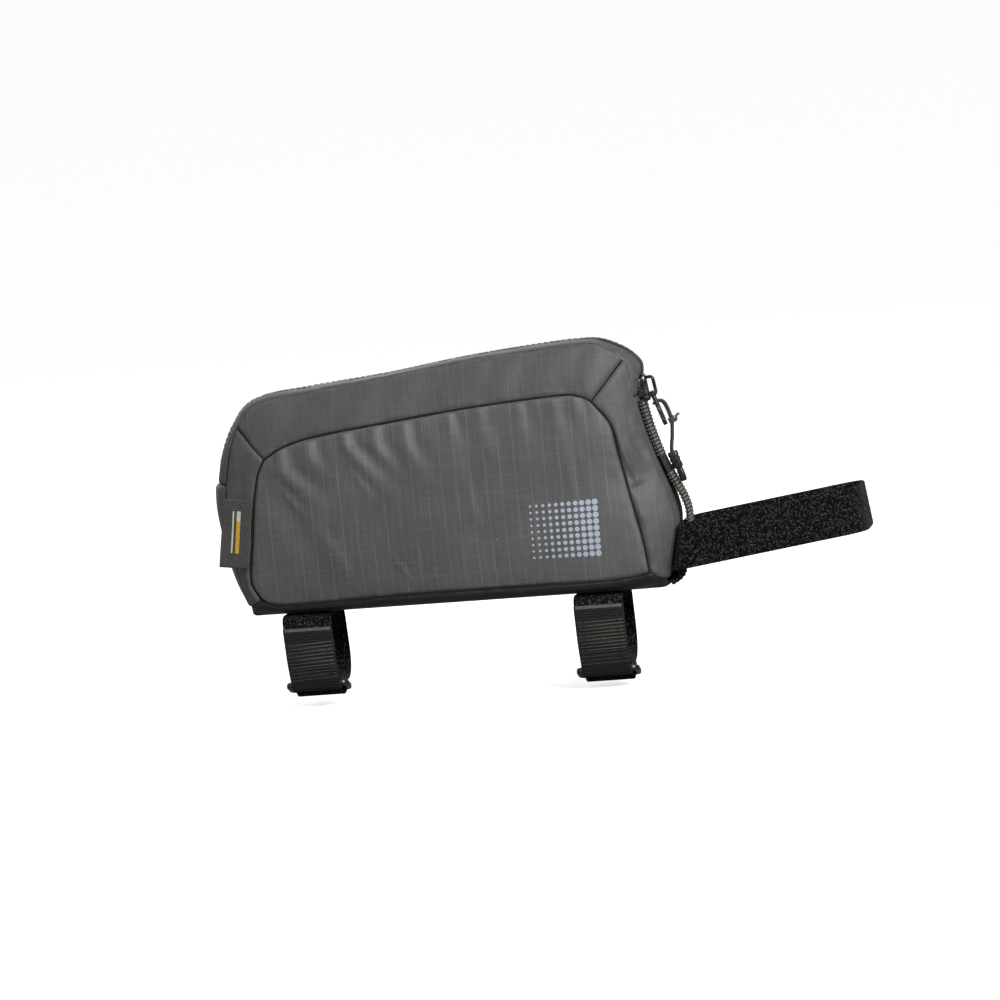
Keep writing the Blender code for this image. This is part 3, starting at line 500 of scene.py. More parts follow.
def meshFromGrid(name, points, cloth, uv, rim, wall, flip=False):
    # A cloth panel as a closed wall: a grid of places, its cloth coordinates and its distance from the seam
    rows, cols = points.shape[:2]
    inner = points - gridNormals(points) * (-1.0 if flip else 1.0) * wall
    verts = np.concatenate([points.reshape(-1, 3), inner.reshape(-1, 3)])
    shift = rows * cols
    index = np.arange(shift).reshape(rows, cols)
    quads = np.stack([index[:-1, :-1], index[1:, :-1], index[1:, 1:], index[:-1, 1:]], axis=-1).reshape(-1, 4)
    loop = np.concatenate([index[:, 0], index[-1, 1:], index[-2::-1, -1], index[0, -2:0:-1]])
    after = np.roll(loop, -1)
    side = np.stack([loop, loop + shift, after + shift, after], axis=1)
    if flip:
        quads, side = quads[:, ::-1], side[:, ::-1]
    faces = np.concatenate([quads, quads[:, ::-1] + shift, side])
    mesh = bpy.data.meshes.new(name)
    mesh.from_pydata(verts.tolist(), [], faces.tolist())
    layCloth(mesh, np.concatenate([uv.reshape(-1, 2)] * 2), np.concatenate([rim.ravel(), np.zeros(shift)]))
    mesh.shade_smooth()
    mesh.materials.append(cloth)
    return newObject(name, mesh)


def gridNormals(points):
    return unit(np.cross(np.gradient(points, axis=0), np.gradient(points, axis=1)))


def rimDistance(points):
    # How far each place of a grid is from each of its four sides, along the cloth
    stepU = np.linalg.norm(np.diff(points, axis=0), axis=2)
    stepV = np.linalg.norm(np.diff(points, axis=1), axis=2)
    fromU = np.concatenate([np.zeros((1, points.shape[1])), np.cumsum(stepU, axis=0)])
    fromV = np.concatenate([np.zeros((points.shape[0], 1)), np.cumsum(stepV, axis=1)], axis=1)
    return fromU, fromU[-1:] - fromU, fromV, fromV[:, -1:] - fromV


# How the rims roll down into their seams, and the small puckers beside the stitches
rolls = {"deep": 0.0009, "wide": 0.0010, "power": 1.6, "most": 1.15}
puckers = {"scale": 210.0, "high": 0.00042, "reach": 0.0042, "flatNear": 0.0008, "seed": 51.0}


def sewnPanel(name, node, points, cloth, uv, rolled=True, lift=None, wall=bodySizes["wall"]):
    # A panel whose rims roll down into their seams, as an object that stands for its node
    middle = (points.shape[0] // 2, points.shape[1] // 2)
    normal = gridNormals(points)
    flip = float(np.dot(normal[middle], outFrom(points[middle]))) < 0
    out = -normal if flip else normal
    drop = np.zeros(points.shape[:2])
    rim = np.full(points.shape[:2], 1.0)
    for distance in rimDistance(points):
        rim = np.minimum(rim, distance)
        if rolled:
            drop += rolls["deep"] * np.exp(-(distance / rolls["wide"]) ** rolls["power"])
    drop = np.minimum(drop, rolls["deep"] * rolls["most"])
    x, y, z = points[..., 0], points[..., 1], points[..., 2]
    pucker = clothNoise(x + 0.4 * y, z - 0.3 * y, puckers["scale"], puckers["seed"])
    drop -= puckers["high"] * pucker * np.exp(-rim / puckers["reach"]) * np.minimum(rim / puckers["flatNear"], 1)
    moved = points - out * drop[..., None]
    if lift is not None:
        moved = moved + out * lift[..., None]
    obj = meshFromGrid(name, insetGrid(moved, bodySizes["seamInset"]), cloth, uv, rim, wall, flip)
    return tellPiece(obj, "bag", [node])


def outFrom(point):
    # Roughly out of the bag at a place on it
    away = point - np.array([0.0, 0.0, 0.052])
    return away / np.array([0.1, 0.026, 0.052]) ** 2


def insetGrid(points, inset):
    # Moves a grid's rims in by a little, so that the panels stay apart
    moved, whole = points.copy(), slice(None)
    for rim, within in (((0, whole), (1, whole)), ((-1, whole), (-2, whole)), ((whole, 0), (whole, 1)),
                        ((whole, -1), (whole, -2))):
        toward = points[within] - points[rim]
        length = np.linalg.norm(toward, axis=-1, keepdims=True)
        moved[rim] += toward / length * np.minimum(inset, length * 0.6)
    return moved


def levelUv(points):
    # Cloth coordinates of a side, with its threads level and upright in the photo
    return np.stack(turned(points[..., 0], points[..., 2], 1.3), axis=-1)


ripples = {"pitch": 0.0112, "high": 0.00022, "reach": 0.019, "slow": 0.0003, "lean": 0.16, "farShift": 0.006,
           "bandPitch": 0.021, "bandHigh": 0.00034, "bandSlow": 0.00026, "bandFine": 0.0001, "zipSlow": 0.00018,
           "endSlow": 0.0003}
# Gathers under the top seam: place along, straight part, lean below it, whole length, half width and height, in mm
gathers = [
    (-76.5, 12, 0.75, 26, 2.3, 0.95), (-63.0, 9, 0.5, 15, 2.6, 0.85), (-45.5, 7, 0.66, 27, 2.4, 0.95),
    (-31.5, 9, 0.4, 20, 2.2, 0.85), (-17.4, 12, 0.35, 25, 2.4, 0.70), (3.5, 10, 0.3, 14, 2.1, 0.45),
    (17.0, 10, 0.2, 22, 2.6, 0.42), (36.0, 12, 0.15, 17, 2.2, 0.38), (52.0, 10, 0.1, 25, 2.4, 0.45),
    (62.0, 8, 0.1, 15, 2.0, 0.35),
]
gatherScale = 1.5
# Thin creases: place, half length, direction in degrees, half width and height, in mm
creases = [(-23.1, 18.5, 8.0, -57, 1.1, 0.42), (-72.5, 53.0, 7.0, -52, 1.6, 0.5), (-38.0, 57.5, 9.0, -55, 1.5, 0.42),
           (12.0, 46.0, 12.0, -78, 2.2, 0.22), (58.0, 53.0, 14.0, -86, 2.0, 0.25), (-55.0, 30.0, 12.0, -60, 2.4, 0.25)]
bandCreases = [(87.5, 47.5, 4.5, 20, 1.5, -0.42), (84.6, 58.0, 9.0, 112, 1.8, 0.7), (89.2, 66.0, 6.0, 118, 1.7, -0.7),
               (86.5, 38.0, 7.0, 100, 1.6, 0.5), (90.5, 77.0, 5.0, 110, 1.6, -0.5)]


def clothNoise(x, z, scale, seed):
    flat = [noise.noise(Vector((float(a) * scale, float(b) * scale, seed))) for a, b in zip(x.ravel(), z.ravel())]
    return np.array(flat).reshape(x.shape)


def sideSurface(side, u, v):
    # The side panel filled in from its seam: u along, v up
    top, low, rear, front = [seamPlaces(stationsAt(name, share), side) for name, share in
                             (("top", u), ("low", 1 - u), ("rear", v), ("front", 1 - v))]
    top, low, rear, front = top[:, None, :], low[:, None, :], rear[None, :, :], front[None, :, :]
    along, up = u[:, None, None], v[None, :, None]
    grid = low * (1 - up) + top * up + rear * (1 - along) + front * along
    grid -= rear[:, :1] * (1 - along) * (1 - up) + front[:, :1] * along * (1 - up)
    grid -= rear[:, -1:] * (1 - along) * up + front[:, -1:] * along * up
    swell = (1 - np.abs(2 * u - 1) ** 3.2)[:, None] * (1 - np.abs(2 * v - 1) ** 2.6)[None, :]
    push = foldPush(grid[..., 0], grid[..., 2]) * np.minimum(swell * 2.5, 1)
    grid[..., 1] += side * (bodySizes["sideCrown"] * swell - push)
    return grid


def gatherLift(grid, side):
    # Small gathers of the side panel, hanging from its top seam, and a few long creases
    x, z = grid[..., 0], grid[..., 2]
    fromTop = rimDistance(grid)[3]
    slide = x - ripples["lean"] * fromTop
    wobble = clothNoise(slide, z * 0.15, 55.0, 3.0 + side)
    wave = np.cos(math.tau * slide / ripples["pitch"] + 3.2 * wobble)
    strength = 0.55 + 0.6 * clothNoise(slide, z * 0.0, 38.0, 9.0 + side)
    lift = ripples["high"] * strength * wave * np.exp(-(fromTop / ripples["reach"]) ** 1.5)
    lift += ripples["slow"] * clothNoise(slide, z * 0.3, 62.0, 17.0 + side)
    shift = 0.0 if side < 0 else ripples["farShift"]
    for along, straight, lean, long, wide, high in gathers:
        middle = along / 1000 + shift + 0.03 * fromTop + lean * np.maximum(fromTop - straight / 1000, 0)
        fade = np.exp(-(fromTop / (long / 1000)) ** 3)
        spread = wide / 1000 * (1 + fromTop / 0.03)
        crest = np.exp(-((x - middle) / spread) ** 2) - 0.6 * np.exp(-((x - middle - spread * 1.7) / spread) ** 2)
        lift += gatherScale * high / 1000 * fade * crest
    lift += creaseLift(x - shift, z, creases) * np.minimum(np.minimum.reduce(rimDistance(grid)) / 0.004, 1)
    return lift * np.minimum(fromTop / 0.0022, 1)


def creaseLift(x, z, rows):
    lift = np.zeros_like(x)
    for atX, atZ, long, toward, wide, high in rows:
        along, across = turned(x * 1000 - atX, z * 1000 - atZ, toward)
        along, across = along / long, across / wide
        lift += high / 1000 * np.exp(-along ** 4) * (np.exp(-across ** 2) - 0.7 * np.exp(-(across - 1.6) ** 2))
    return lift


def buildSides():
    for word, side in (("near", -1), ("far", 1)):
        grid = sideSurface(side, *stepsOf("side"))
        sewnPanel(f"ripstop_side_{word}", f"side_panel_{word}", grid, cloths["ripstopCloth"], levelUv(grid),
                  lift=gatherLift(grid, side))


def bandSurface(part, side, t, s):
    # A band between the side panel's seam and the gusset's edge: t along, s across
    row, share = stationsAt(part, t), s[None, :, None]
    grid = seamPlaces(row, side)[:, None, :] * (1 - share) + edgePlaces(row, side)[:, None, :] * share
    n, m = bodySizes["longCells"], bodySizes["tallCells"]
    start, cells = {"top": (0, n), "front": (n, m), "rear": (2 * n + m, m)}[part]
    bulge = (1 - np.abs(2 * s - 1) ** 2.2)[None, :, None]
    grid = grid + leanOut(outwardAt(start + t * cells), side)[:, None, :] * bulge * bodySizes["bandCrown"]
    push = foldPush(grid[..., 0], grid[..., 2]) * np.minimum(bulge[..., 0] * 1.6, 1)
    grid[..., 1] -= side * push
    return grid


# The raised lip beside the zip's front corner, and where it starts along the top and front bands
lipLook = {"high": 0.0010, "wide": 0.0016, "top": (0.86, 0.06), "front": (0.26, -0.08)}


def buildBands():
    for word, side in (("near", -1), ("far", 1)):
        for part in ("top", "front", "rear"):
            t, s = stepsOf(part)
            grid = bandSurface(part, side, t, s)
            x, z = grid[..., 0], grid[..., 2]
            lift = ripples["bandSlow"] * clothNoise(x, z, 70.0, 21.0 + side)
            lift = lift + ripples["bandFine"] * clothNoise(x, z, 190.0, 5.0)
            if part == "top":
                sway = 2.5 * clothNoise(x, z * 0, 30.0, 13.0 + side)
                lift = lift + ripples["bandHigh"] * np.cos(math.tau * (x - 0.5 * z) / ripples["bandPitch"] + sway)
            if part == "front":
                lift = lift + creaseLift(x, z, bandCreases)
            fromSeam, fromEdge = rimDistance(grid)[2:]
            lift = lift * np.minimum(np.minimum(fromSeam, fromEdge) / 0.003, 1)
            if part in lipLook:
                start, over = lipLook[part]
                lip = lipLook["high"] * np.exp(-(fromEdge / lipLook["wide"]) ** 2)
                lift = lift + lip * np.clip((t - start) / over, 0, 1)[:, None]
            sewnPanel(f"coated_{part}_band_{word}", f"{part}_band_{word}", grid, cloths["coatedCloth"], levelUv(grid),
                      lift=lift)


# Where the gusset swells out over the front top corner: cell, width in cells and height
cornerSwell = [(26.3, 1.5, 0.0028), (27.2, 0.8, 0.0026)]


def gussetSurface(k, y):
    # The strip over the top, front and rear: k round the bag in cells, y across in metres
    row, out = ringAt(k), outwardAt(k)
    half, crown = row[:, 5][:, None], row[:, 6][:, None]
    for at, wide, high in cornerSwell:
        crown = crown + high * np.exp(-((k - at) / wide) ** 2)[:, None]
    across = y if y.ndim == 2 else np.broadcast_to(y, (len(k), len(y)))
    bulge = crown * (1 - (across / half) ** 2)
    x = row[:, 2][:, None] + out[:, 0][:, None] * bulge
    z = row[:, 3][:, None] + out[:, 1][:, None] * bulge
    return np.stack([x, across, z], axis=-1)


def runUv(grid):
    # Cloth coordinates along a strip and across it
    along = np.concatenate([[0], np.cumsum(np.linalg.norm(np.diff(grid, axis=0), axis=2).mean(axis=1))])
    return np.stack([np.broadcast_to(along[:, None], grid.shape[:2]), grid[..., 1]], axis=-1)


def buildGusset():
    n, m = bodySizes["longCells"], bodySizes["tallCells"]
    zipStart, zipEnd = -bodySizes["zipRear"], n + bodySizes["zipFront"]
    for word, side in (("near", -1), ("far", 1)):
        along, across = stepsOf("zipPanel")
        k = zipStart + along * (zipEnd - zipStart)
        half = ringAt(k)[:, 5][:, None]
        grid = gussetSurface(k, side * (half + (bodySizes["zipHalf"] - half) * across[None, :]))
        lift = ripples["zipSlow"] * clothNoise(grid[..., 0] + grid[..., 2], grid[..., 1], 80.0, 31.0 + side)
        sewnPanel(f"coated_zip_panel_{word}", f"zip_panel_{word}", grid, cloths["coatedCloth"], runUv(grid),
                  lift=lift)
    for name, first, last in (("front", zipEnd, n + m), ("rear", 2 * n + m, 2 * (n + m) - bodySizes["zipRear"])):
        along, across = stepsOf("endPanel")
        k = first + along * (last - first)
        grid = gussetSurface(k, ringAt(k)[:, 5][:, None] * (2 * across - 1)[None, :])
        lift = ripples["endSlow"] * clothNoise(grid[..., 1], grid[..., 2], 60.0, 41.0)
        sewnPanel(f"coated_{name}_panel", f"{name}_panel", grid, cloths["coatedCloth"], runUv(grid),
                  lift=lift)


def buildBase():
    n, m = bodySizes["longCells"], bodySizes["tallCells"]
    along, across = stepsOf("base")
    k = n + m + along * n
    row, out = ringAt(k), outwardAt(k)

    def flatPlaces(y):
        return np.stack([row[:, 2], y, np.zeros(len(k))], axis=1)

    knots = []
    for side in (-1, 1):
        seam, edge = seamPlaces(row, side), edgePlaces(row, side)
        wrap = [seam, (seam + edge) / 2 + leanOut(out, side) * bodySizes["bandCrown"], edge,
                flatPlaces(side * (row[:, 5] + bodySizes["zipHalf"]) / 2)]
        knots += wrap if side < 0 else [flatPlaces(0 * k)] + wrap[::-1]
    knots = np.stack(knots, axis=1)
    s = across * (knots.shape[1] - 1)
    at = np.clip(s.astype(int), 0, knots.shape[1] - 2)
    t = (s - at)[None, :, None]
    grid = knots[:, at] * (1 - t) + knots[:, at + 1] * t
    sewnPanel("base_cloth", "base_panel", grid, cloths["baseCloth"], runUv(grid))


seamLook = {"deep": 0.00125, "radius": 0.00078}


def buildPiping():
    # A dark cord that fills the groove of each side panel's seam
    row = np.concatenate([stationsAt(part, np.linspace(0, 1, 70)[:-1]) for part in ("top", "front", "low", "rear")])
    for word, side in (("near", -1), ("far", 1)):
        sweepTube(f"seam_piping_{word}", seamPlaces(row, side, seamLook["deep"]), seamLook["radius"], darkThread, "bag",
                  (), around=8, closed=True)


buildSides()
buildBands()
buildGusset()
buildBase()
print("sewn body made")

# Finishes of the straps, the zip and the trim

pileLook = {"dark": (0.0010, 0.0010, 0.0010, 1), "light": (0.085, 0.084, 0.083, 1)}
plasticHaze = (0.035, 0.034, 0.033, 1)


def makePile(name):
    made, tree, place = startFinish(name, 0.95, 0.08, sheen=0.04)
    curl = tree.noise(place, 1900.0, 2.0, 0.6)
    clump = tree.noise(place, 780.0, 2.0, 0.6)
    speck = tree.times(tree.ramp(curl, 0.51, 0.62), tree.ramp(clump, 0.43, 0.60))
    return endFinish(made, tree, tree.mix(speck, pileLook["dark"], pileLook["light"]), curl, 0.9, 0.0006)


def makeWebbing(name, dark, light, pitch, across):
    made, tree, place = startFinish(name, 0.85, sheen=0.03)
    u, v = tree.split(tree.add("ShaderNodeUVMap"))[:2]
    rib = tree.ramp(tree.maths("PINGPONG", v, pitch / 2), pitch * 0.06, pitch * 0.36)
    warp = tree.ramp(tree.maths("PINGPONG", u, across / 2), across * 0.05, across * 0.3)
    fuzz = tree.ramp(tree.noise(place, 2200.0, 3.0, 0.65), 0.3, 0.7, 0.55, 1.0)
    tone = tree.times(rib, tree.ramp(warp, 0, 1, 0.55, 1.0), fuzz)
    return endFinish(made, tree, tree.mix(tone, (*dark, 1), (*light, 1)), tone, 0.6, 0.0003)


def makeThread(name, colour, roughness=0.8, specular=0.22):
    made, tree, place = startFinish(name, roughness, specular, sheen=0.05)
    twist = tree.noise(place, 2600.0, 2.0, 0.6)
    dark, light = [(*[c * share for c in colour], 1) for share in (0.55, 1.35)]
    return endFinish(made, tree, tree.mix(tree.ramp(twist, 0.3, 0.7), dark, light), twist, 0.4, 0.0001)


def makeMetal(name, colour, worn, roughness):
    made, tree, place = startFinish(name, roughness, 0.5, 1.0)
    rub = tree.ramp(tree.noise(place, 420.0, 4.0, 0.65), 0.48, 0.66)
    fine = tree.noise(place, 2400.0, 3.0, 0.6)
    return endFinish(made, tree, tree.mix(rub, (*colour, 1), (*worn, 1)), fine, 0.12, 0.00008,
                     tree.ramp(fine, 0.25, 0.75, roughness - 0.07, roughness + 0.12))


def makePlastic(name, colour, roughness):
    made, tree, place = startFinish(name, roughness, 0.5)
    grain = tree.noise(place, 3000.0, 2.0, 0.5)
    haze = tree.ramp(tree.noise(place, 260.0, 4.0, 0.65), 0.45, 0.75)
    return endFinish(made, tree, tree.mix(tree.times(haze, 0.35), (*colour, 1), plasticHaze), grain, 0.15, 0.00006,
                     tree.ramp(haze, 0, 1, roughness - 0.04, roughness + 0.18))


labelLook = {"twill": 0.0011, "slant": 0.85, "dark": (0.010, 0.010, 0.009, 1), "light": (0.085, 0.081, 0.074, 1),
             "stripe": (0.0058, 0.0009), "thin": (0.0083, 0.00035), "white": (0.55, 0.55, 0.53, 1),
             "amber": (0.60, 0.34, 0.012, 1), "ends": (0.041, 0.056, 0.0605)}


def makeTwill(name, look):
    made, tree, place = startFinish(name, 0.75, sheen=0.2)
    u, v = tree.split(tree.add("ShaderNodeUVMap"))[:2]
    slant = tree.maths("PINGPONG", tree.maths("ADD", u, tree.times(v, look["slant"])), look["twill"] / 2)
    line = tree.ramp(slant, look["twill"] * 0.14, look["twill"] * 0.36)
    fuzz = tree.ramp(tree.noise(place, 1800.0, 3.0), 0.3, 0.7, 0.7, 1.15)
    base = tree.mix(line, look["dark"], look["light"])
    # One woven stripe, amber and then white, and a thin one beside it
    low, change, high = look["ends"]
    inside = tree.times(tree.maths("GREATER_THAN", v, low), tree.maths("LESS_THAN", v, high))
    colour = tree.mix(tree.maths("GREATER_THAN", v, change), look["amber"], look["white"])
    for (middle, half), tone in ((look["stripe"], colour), (look["thin"], look["white"])):
        near = tree.maths("ABSOLUTE", tree.maths("SUBTRACT", u, middle))
        edge = tree.ramp(near, half - 0.0001, half + 0.0001, 1.0, 0.0)
        base = tree.mix(tree.times(edge, inside, tree.ramp(line, 0, 1, 0.6, 0.95)), base, tone)
    return endFinish(made, tree, tree.shaded(base, fuzz), line, 0.5, 0.00015)


loopPile = makePile("loopPile")
strapWebbing = makeWebbing("strapWebbing", (0.003, 0.003, 0.003), (0.020, 0.0195, 0.019), 0.0013, 0.0013)
grosgrain = makeWebbing("grosgrain", (0.010, 0.009, 0.008), (0.050, 0.046, 0.041), 0.0014, 0.0006)
zipTapeCloth = makeWebbing("zipTapeCloth", (0.010, 0.010, 0.010), (0.045, 0.043, 0.040), 0.0009, 0.0008)
ribThread = makeThread("ribThread", (0.058, 0.055, 0.051))
webThread = makeThread("webThread", (0.150, 0.138, 0.120))
hemThread = makeThread("hemThread", (0.085, 0.082, 0.079))
lineThread = makeThread("lineThread", (0.066, 0.058, 0.049))
darkThread = makeThread("darkThread", (0.007, 0.007, 0.007))
seamThread = makeThread("seamThread", (0.05, 0.05, 0.052))
braid = makeThread("braid", (0.062, 0.064, 0.057))
coilNylon = makeThread("coilNylon", (0.022, 0.021, 0.020), 0.45, 0.5)
darkMetal = makeMetal("darkMetal", (0.060, 0.057, 0.054), (0.30, 0.285, 0.27), 0.24)
blackPlastic = makePlastic("blackPlastic", (0.0055, 0.0055, 0.0055), 0.34)
labelTwill = makeTwill("labelTwill", labelLook)
print("finishes made")

# Rows of stitches, ribs and zip teeth, and loop pile, by Geometry Nodes


def newNodeTree(name, inputs):
    tree = bpy.data.node_groups.new(name, "GeometryNodeTree")
    for label, kind in inputs.items():
        tree.interface.new_socket(label, in_out="INPUT", socket_type=kind)
    tree.interface.new_socket("pieces", in_out="OUTPUT", socket_type="NodeSocketGeometry")
    return tree, Tree(tree), tree.nodes.new("NodeGroupInput").outputs, tree.nodes.new("NodeGroupOutput").inputs


def endPieces(tree, made, inlet, outlet):
    # Plain smooth geometry of one finish
    made = tree.add("GeometryNodeSetShadeSmooth", Geometry=tree.add("GeometryNodeRealizeInstances", Geometry=made))
    tree.put(tree.add("GeometryNodeSetMaterial", Geometry=made, Material=inlet["finish"]), outlet["pieces"])


def hoop(tree, steps, around, thick):
    circle = tree.add("GeometryNodeCurvePrimitiveCircle", Resolution=steps, Radius=0.5)
    profile = tree.add("GeometryNodeCurvePrimitiveCircle", Resolution=around, Radius=thick)
    return tree.add("GeometryNodeCurveToMesh", i0=circle, i1=profile)


def unitShape(tree, inlet, shape):
    if shape == "bar":
        bar = tree.add("GeometryNodeMeshCylinder", Vertices=8, Radius=0.5, Depth=1.0)
        return tree.add("GeometryNodeTransform", Geometry=bar, Rotation=(0, math.pi / 2, 0))
    if shape == "loop":
        return hoop(tree, 10, 5, 0.16)
    bead = tree.add("GeometryNodeMeshUVSphere", Segments=6, Rings=4, Radius=0.5)
    if shape == "bead":
        return bead
    # A row of beads, joined as one rib
    step = tree.maths("DIVIDE", 1.0, inlet["countAcross"])
    start = tree.join(tree.maths("SUBTRACT", tree.times(step, 0.5), 0.5), 0.0)
    line = tree.add("GeometryNodeMeshLine", Count=inlet["countAcross"],
                    **{"Start Location": start, "Offset": tree.join(step, 0.0)})
    row = tree.add("GeometryNodeInstanceOnPoints", Points=line, Instance=bead,
                   Scale=tree.join(tree.times(step, 0.86), 1.0, 1.0))
    return tree.add("GeometryNodeRealizeInstances", Geometry=row)


def makeRowTree(name, shape):
    group, tree, inlet, outlet = newNodeTree(name, {
        "path": "NodeSocketGeometry", "spacing": "NodeSocketFloat", "size": "NodeSocketVector",
        "countAcross": "NodeSocketInt", "finish": "NodeSocketMaterial"})
    curve = tree.add("GeometryNodeMeshToCurve", Mesh=inlet["path"])
    points = tree.add("GeometryNodeCurveToPoints", settings={"mode": "LENGTH"}, Curve=curve, Length=inlet["spacing"])
    side = tree.add("GeometryNodeInputNamedAttribute", settings={"data_type": "FLOAT_VECTOR"}, Name="side")
    side = next(o for o in side.node.outputs if o.enabled and o.name == "Attribute")
    turn = tree.add("FunctionNodeAlignRotationToVector", settings={"axis": "Z"},
                    Vector=points.node.outputs["Tangent"])
    turn = tree.add("FunctionNodeAlignRotationToVector", settings={"axis": "X", "pivot_axis": "Z"}, Rotation=turn,
                    Vector=side)
    row = tree.add("GeometryNodeInstanceOnPoints", Points=points, Instance=unitShape(tree, inlet, shape),
                   Rotation=turn, Scale=inlet["size"])
    endPieces(tree, row, inlet, outlet)
    return group


def makePileTree():
    group, tree, inlet, outlet = newNodeTree("loopPileTree", {
        "cloth": "NodeSocketGeometry", "density": "NodeSocketFloat", "size": "NodeSocketVector",
        "seed": "NodeSocketInt", "finish": "NodeSocketMaterial"})
    spots = tree.add("GeometryNodeDistributePointsOnFaces", Mesh=inlet["cloth"], Density=inlet["density"],
                     Seed=inlet["seed"])
    tip = tree.add("FunctionNodeRandomValue", settings={"data_type": "FLOAT_VECTOR"}, i0=(-0.7, -0.7, 0.0),
                   i1=(0.7, 0.7, math.tau), Seed=inlet["seed"])
    turn = tree.add("FunctionNodeRotateRotation", settings={"rotation_space": "LOCAL"},
                    Rotation=spots.node.outputs["Rotation"], i1=tip)
    loop = tree.add("GeometryNodeTransform", Geometry=hoop(tree, 6, 3, 0.085), Rotation=(math.pi / 2, 0, 0))
    pile = tree.add("GeometryNodeInstanceOnPoints", Points=spots, Instance=loop, Rotation=turn, Scale=inlet["size"])
    endPieces(tree, pile, inlet, outlet)
    return group


def grow(name, mesh, group, values):
    # The nodes' result as a plain mesh of its own
    obj = newObject(name, mesh)
    step = obj.modifiers.new("rows", "NODES")
    step.node_group = group
    for item in group.interface.items_tree:
        if item.in_out == "INPUT" and item.name in values:
            step[item.identifier] = values[item.name]
    made = bpy.data.meshes.new_from_object(obj.evaluated_get(bpy.context.evaluated_depsgraph_get()))
    obj.modifiers.remove(step)
    obj.data = made
    obj.data.name = name
    return tellPiece(obj, "bag", ())


rowTrees = {shape: makeRowTree(f"{shape}RowTree", shape) for shape in ("bead", "bar", "loop", "beadRow")}
pileTree = makePileTree()


def layRow(name, paths, shape, spacing, size, finish, count=1):
    # Paths are pairs of places and sideways directions
    verts, edges, sides = [], [], []
    for points, side in paths:
        first = len(verts)
        verts += [tuple(p) for p in points]
        edges += [(first + n, first + n + 1) for n in range(len(points) - 1)]
        sides += [tuple(s) for s in np.broadcast_to(np.asarray(side, float), (len(points), 3))]
    mesh = bpy.data.meshes.new(name)
    mesh.from_pydata(verts, edges, [])
    mesh.attributes.new("side", "FLOAT_VECTOR", "POINT").data.foreach_set("vector", np.array(sides, np.float32).ravel())
    values = {"spacing": spacing, "size": size, "countAcross": count, "finish": finish}
    return grow(name, mesh, rowTrees[shape], values)


# Straps and other swept shapes


def fillLine(rows, pitch):
    # More places along one or two lines, with the same count on each
    out = [[row[0]] for row in rows]
    for n in range(len(rows[0]) - 1):
        count = max(1, round(float(np.linalg.norm(np.subtract(rows[0][n + 1], rows[0][n]))) / pitch))
        for step in range(1, count + 1):
            for line, row in zip(out, rows):
                line.append(np.array(row[n]) + (np.array(row[n + 1]) - np.array(row[n])) * step / count)
    return [np.array(line) for line in out]


def runOf(line):
    return np.concatenate([[0], np.cumsum(np.linalg.norm(np.diff(line, axis=0), axis=1))])


def belt(stops, arcSteps=10):
    # A strap pulled over round stops (a, b, radius): a left turn's radius is above 0, an end's is 0
    headings = []
    for (a0, b0, r0), (a1, b1, r1) in zip(stops, stops[1:]):
        span = math.hypot(a1 - a0, b1 - b0)
        headings.append(math.atan2(b1 - b0, a1 - a0) - math.asin((r1 - r0) / span))
    points = []
    for at, (a, b, radius) in enumerate(stops):
        first, last = headings[max(at - 1, 0)], headings[min(at, len(headings) - 1)]
        turn = (last - first + 0.01) % math.tau - 0.01 if radius > 0 else (last - first - 0.01) % -math.tau + 0.01
        steps = arcSteps if radius else 0
        for n in range(steps + 1):
            heading = first + (turn * n / steps if steps else 0)
            points.append((a + radius * math.sin(heading), b - radius * math.cos(heading)))
    return points


def ringFaces(rows, around, closed=False):
    # Faces between rings of places, with a cap at each end of an open row
    faces = []
    for row in range(rows if closed else rows - 1):
        here, after = row * around, (row + 1) % rows * around
        faces += [(here + k, here + (k + 1) % around, after + (k + 1) % around, after + k) for k in range(around)]
    if not closed:
        faces += [tuple(range(around))[::-1], tuple((rows - 1) * around + k for k in range(around))]
    return faces


def finishPiece(name, verts, faces, cloth, body, nodes=(), uv=None, rim=None, lastCloth=None,
                isLast=None):
    mesh = bpy.data.meshes.new(name)
    mesh.from_pydata([tuple(map(float, v)) for v in verts], [], [tuple(map(int, f)) for f in faces])
    if uv is not None:
        layCloth(mesh, uv, rim)
    mesh.materials.append(cloth)
    if lastCloth is not None:
        mesh.materials.append(lastCloth)
        for face in mesh.polygons:
            face.material_index = int(isLast[face.index])
    mesh.shade_smooth()
    mesh.set_sharp_from_angle(angle=math.radians(50))
    return tellPiece(newObject(name, mesh), body, nodes)


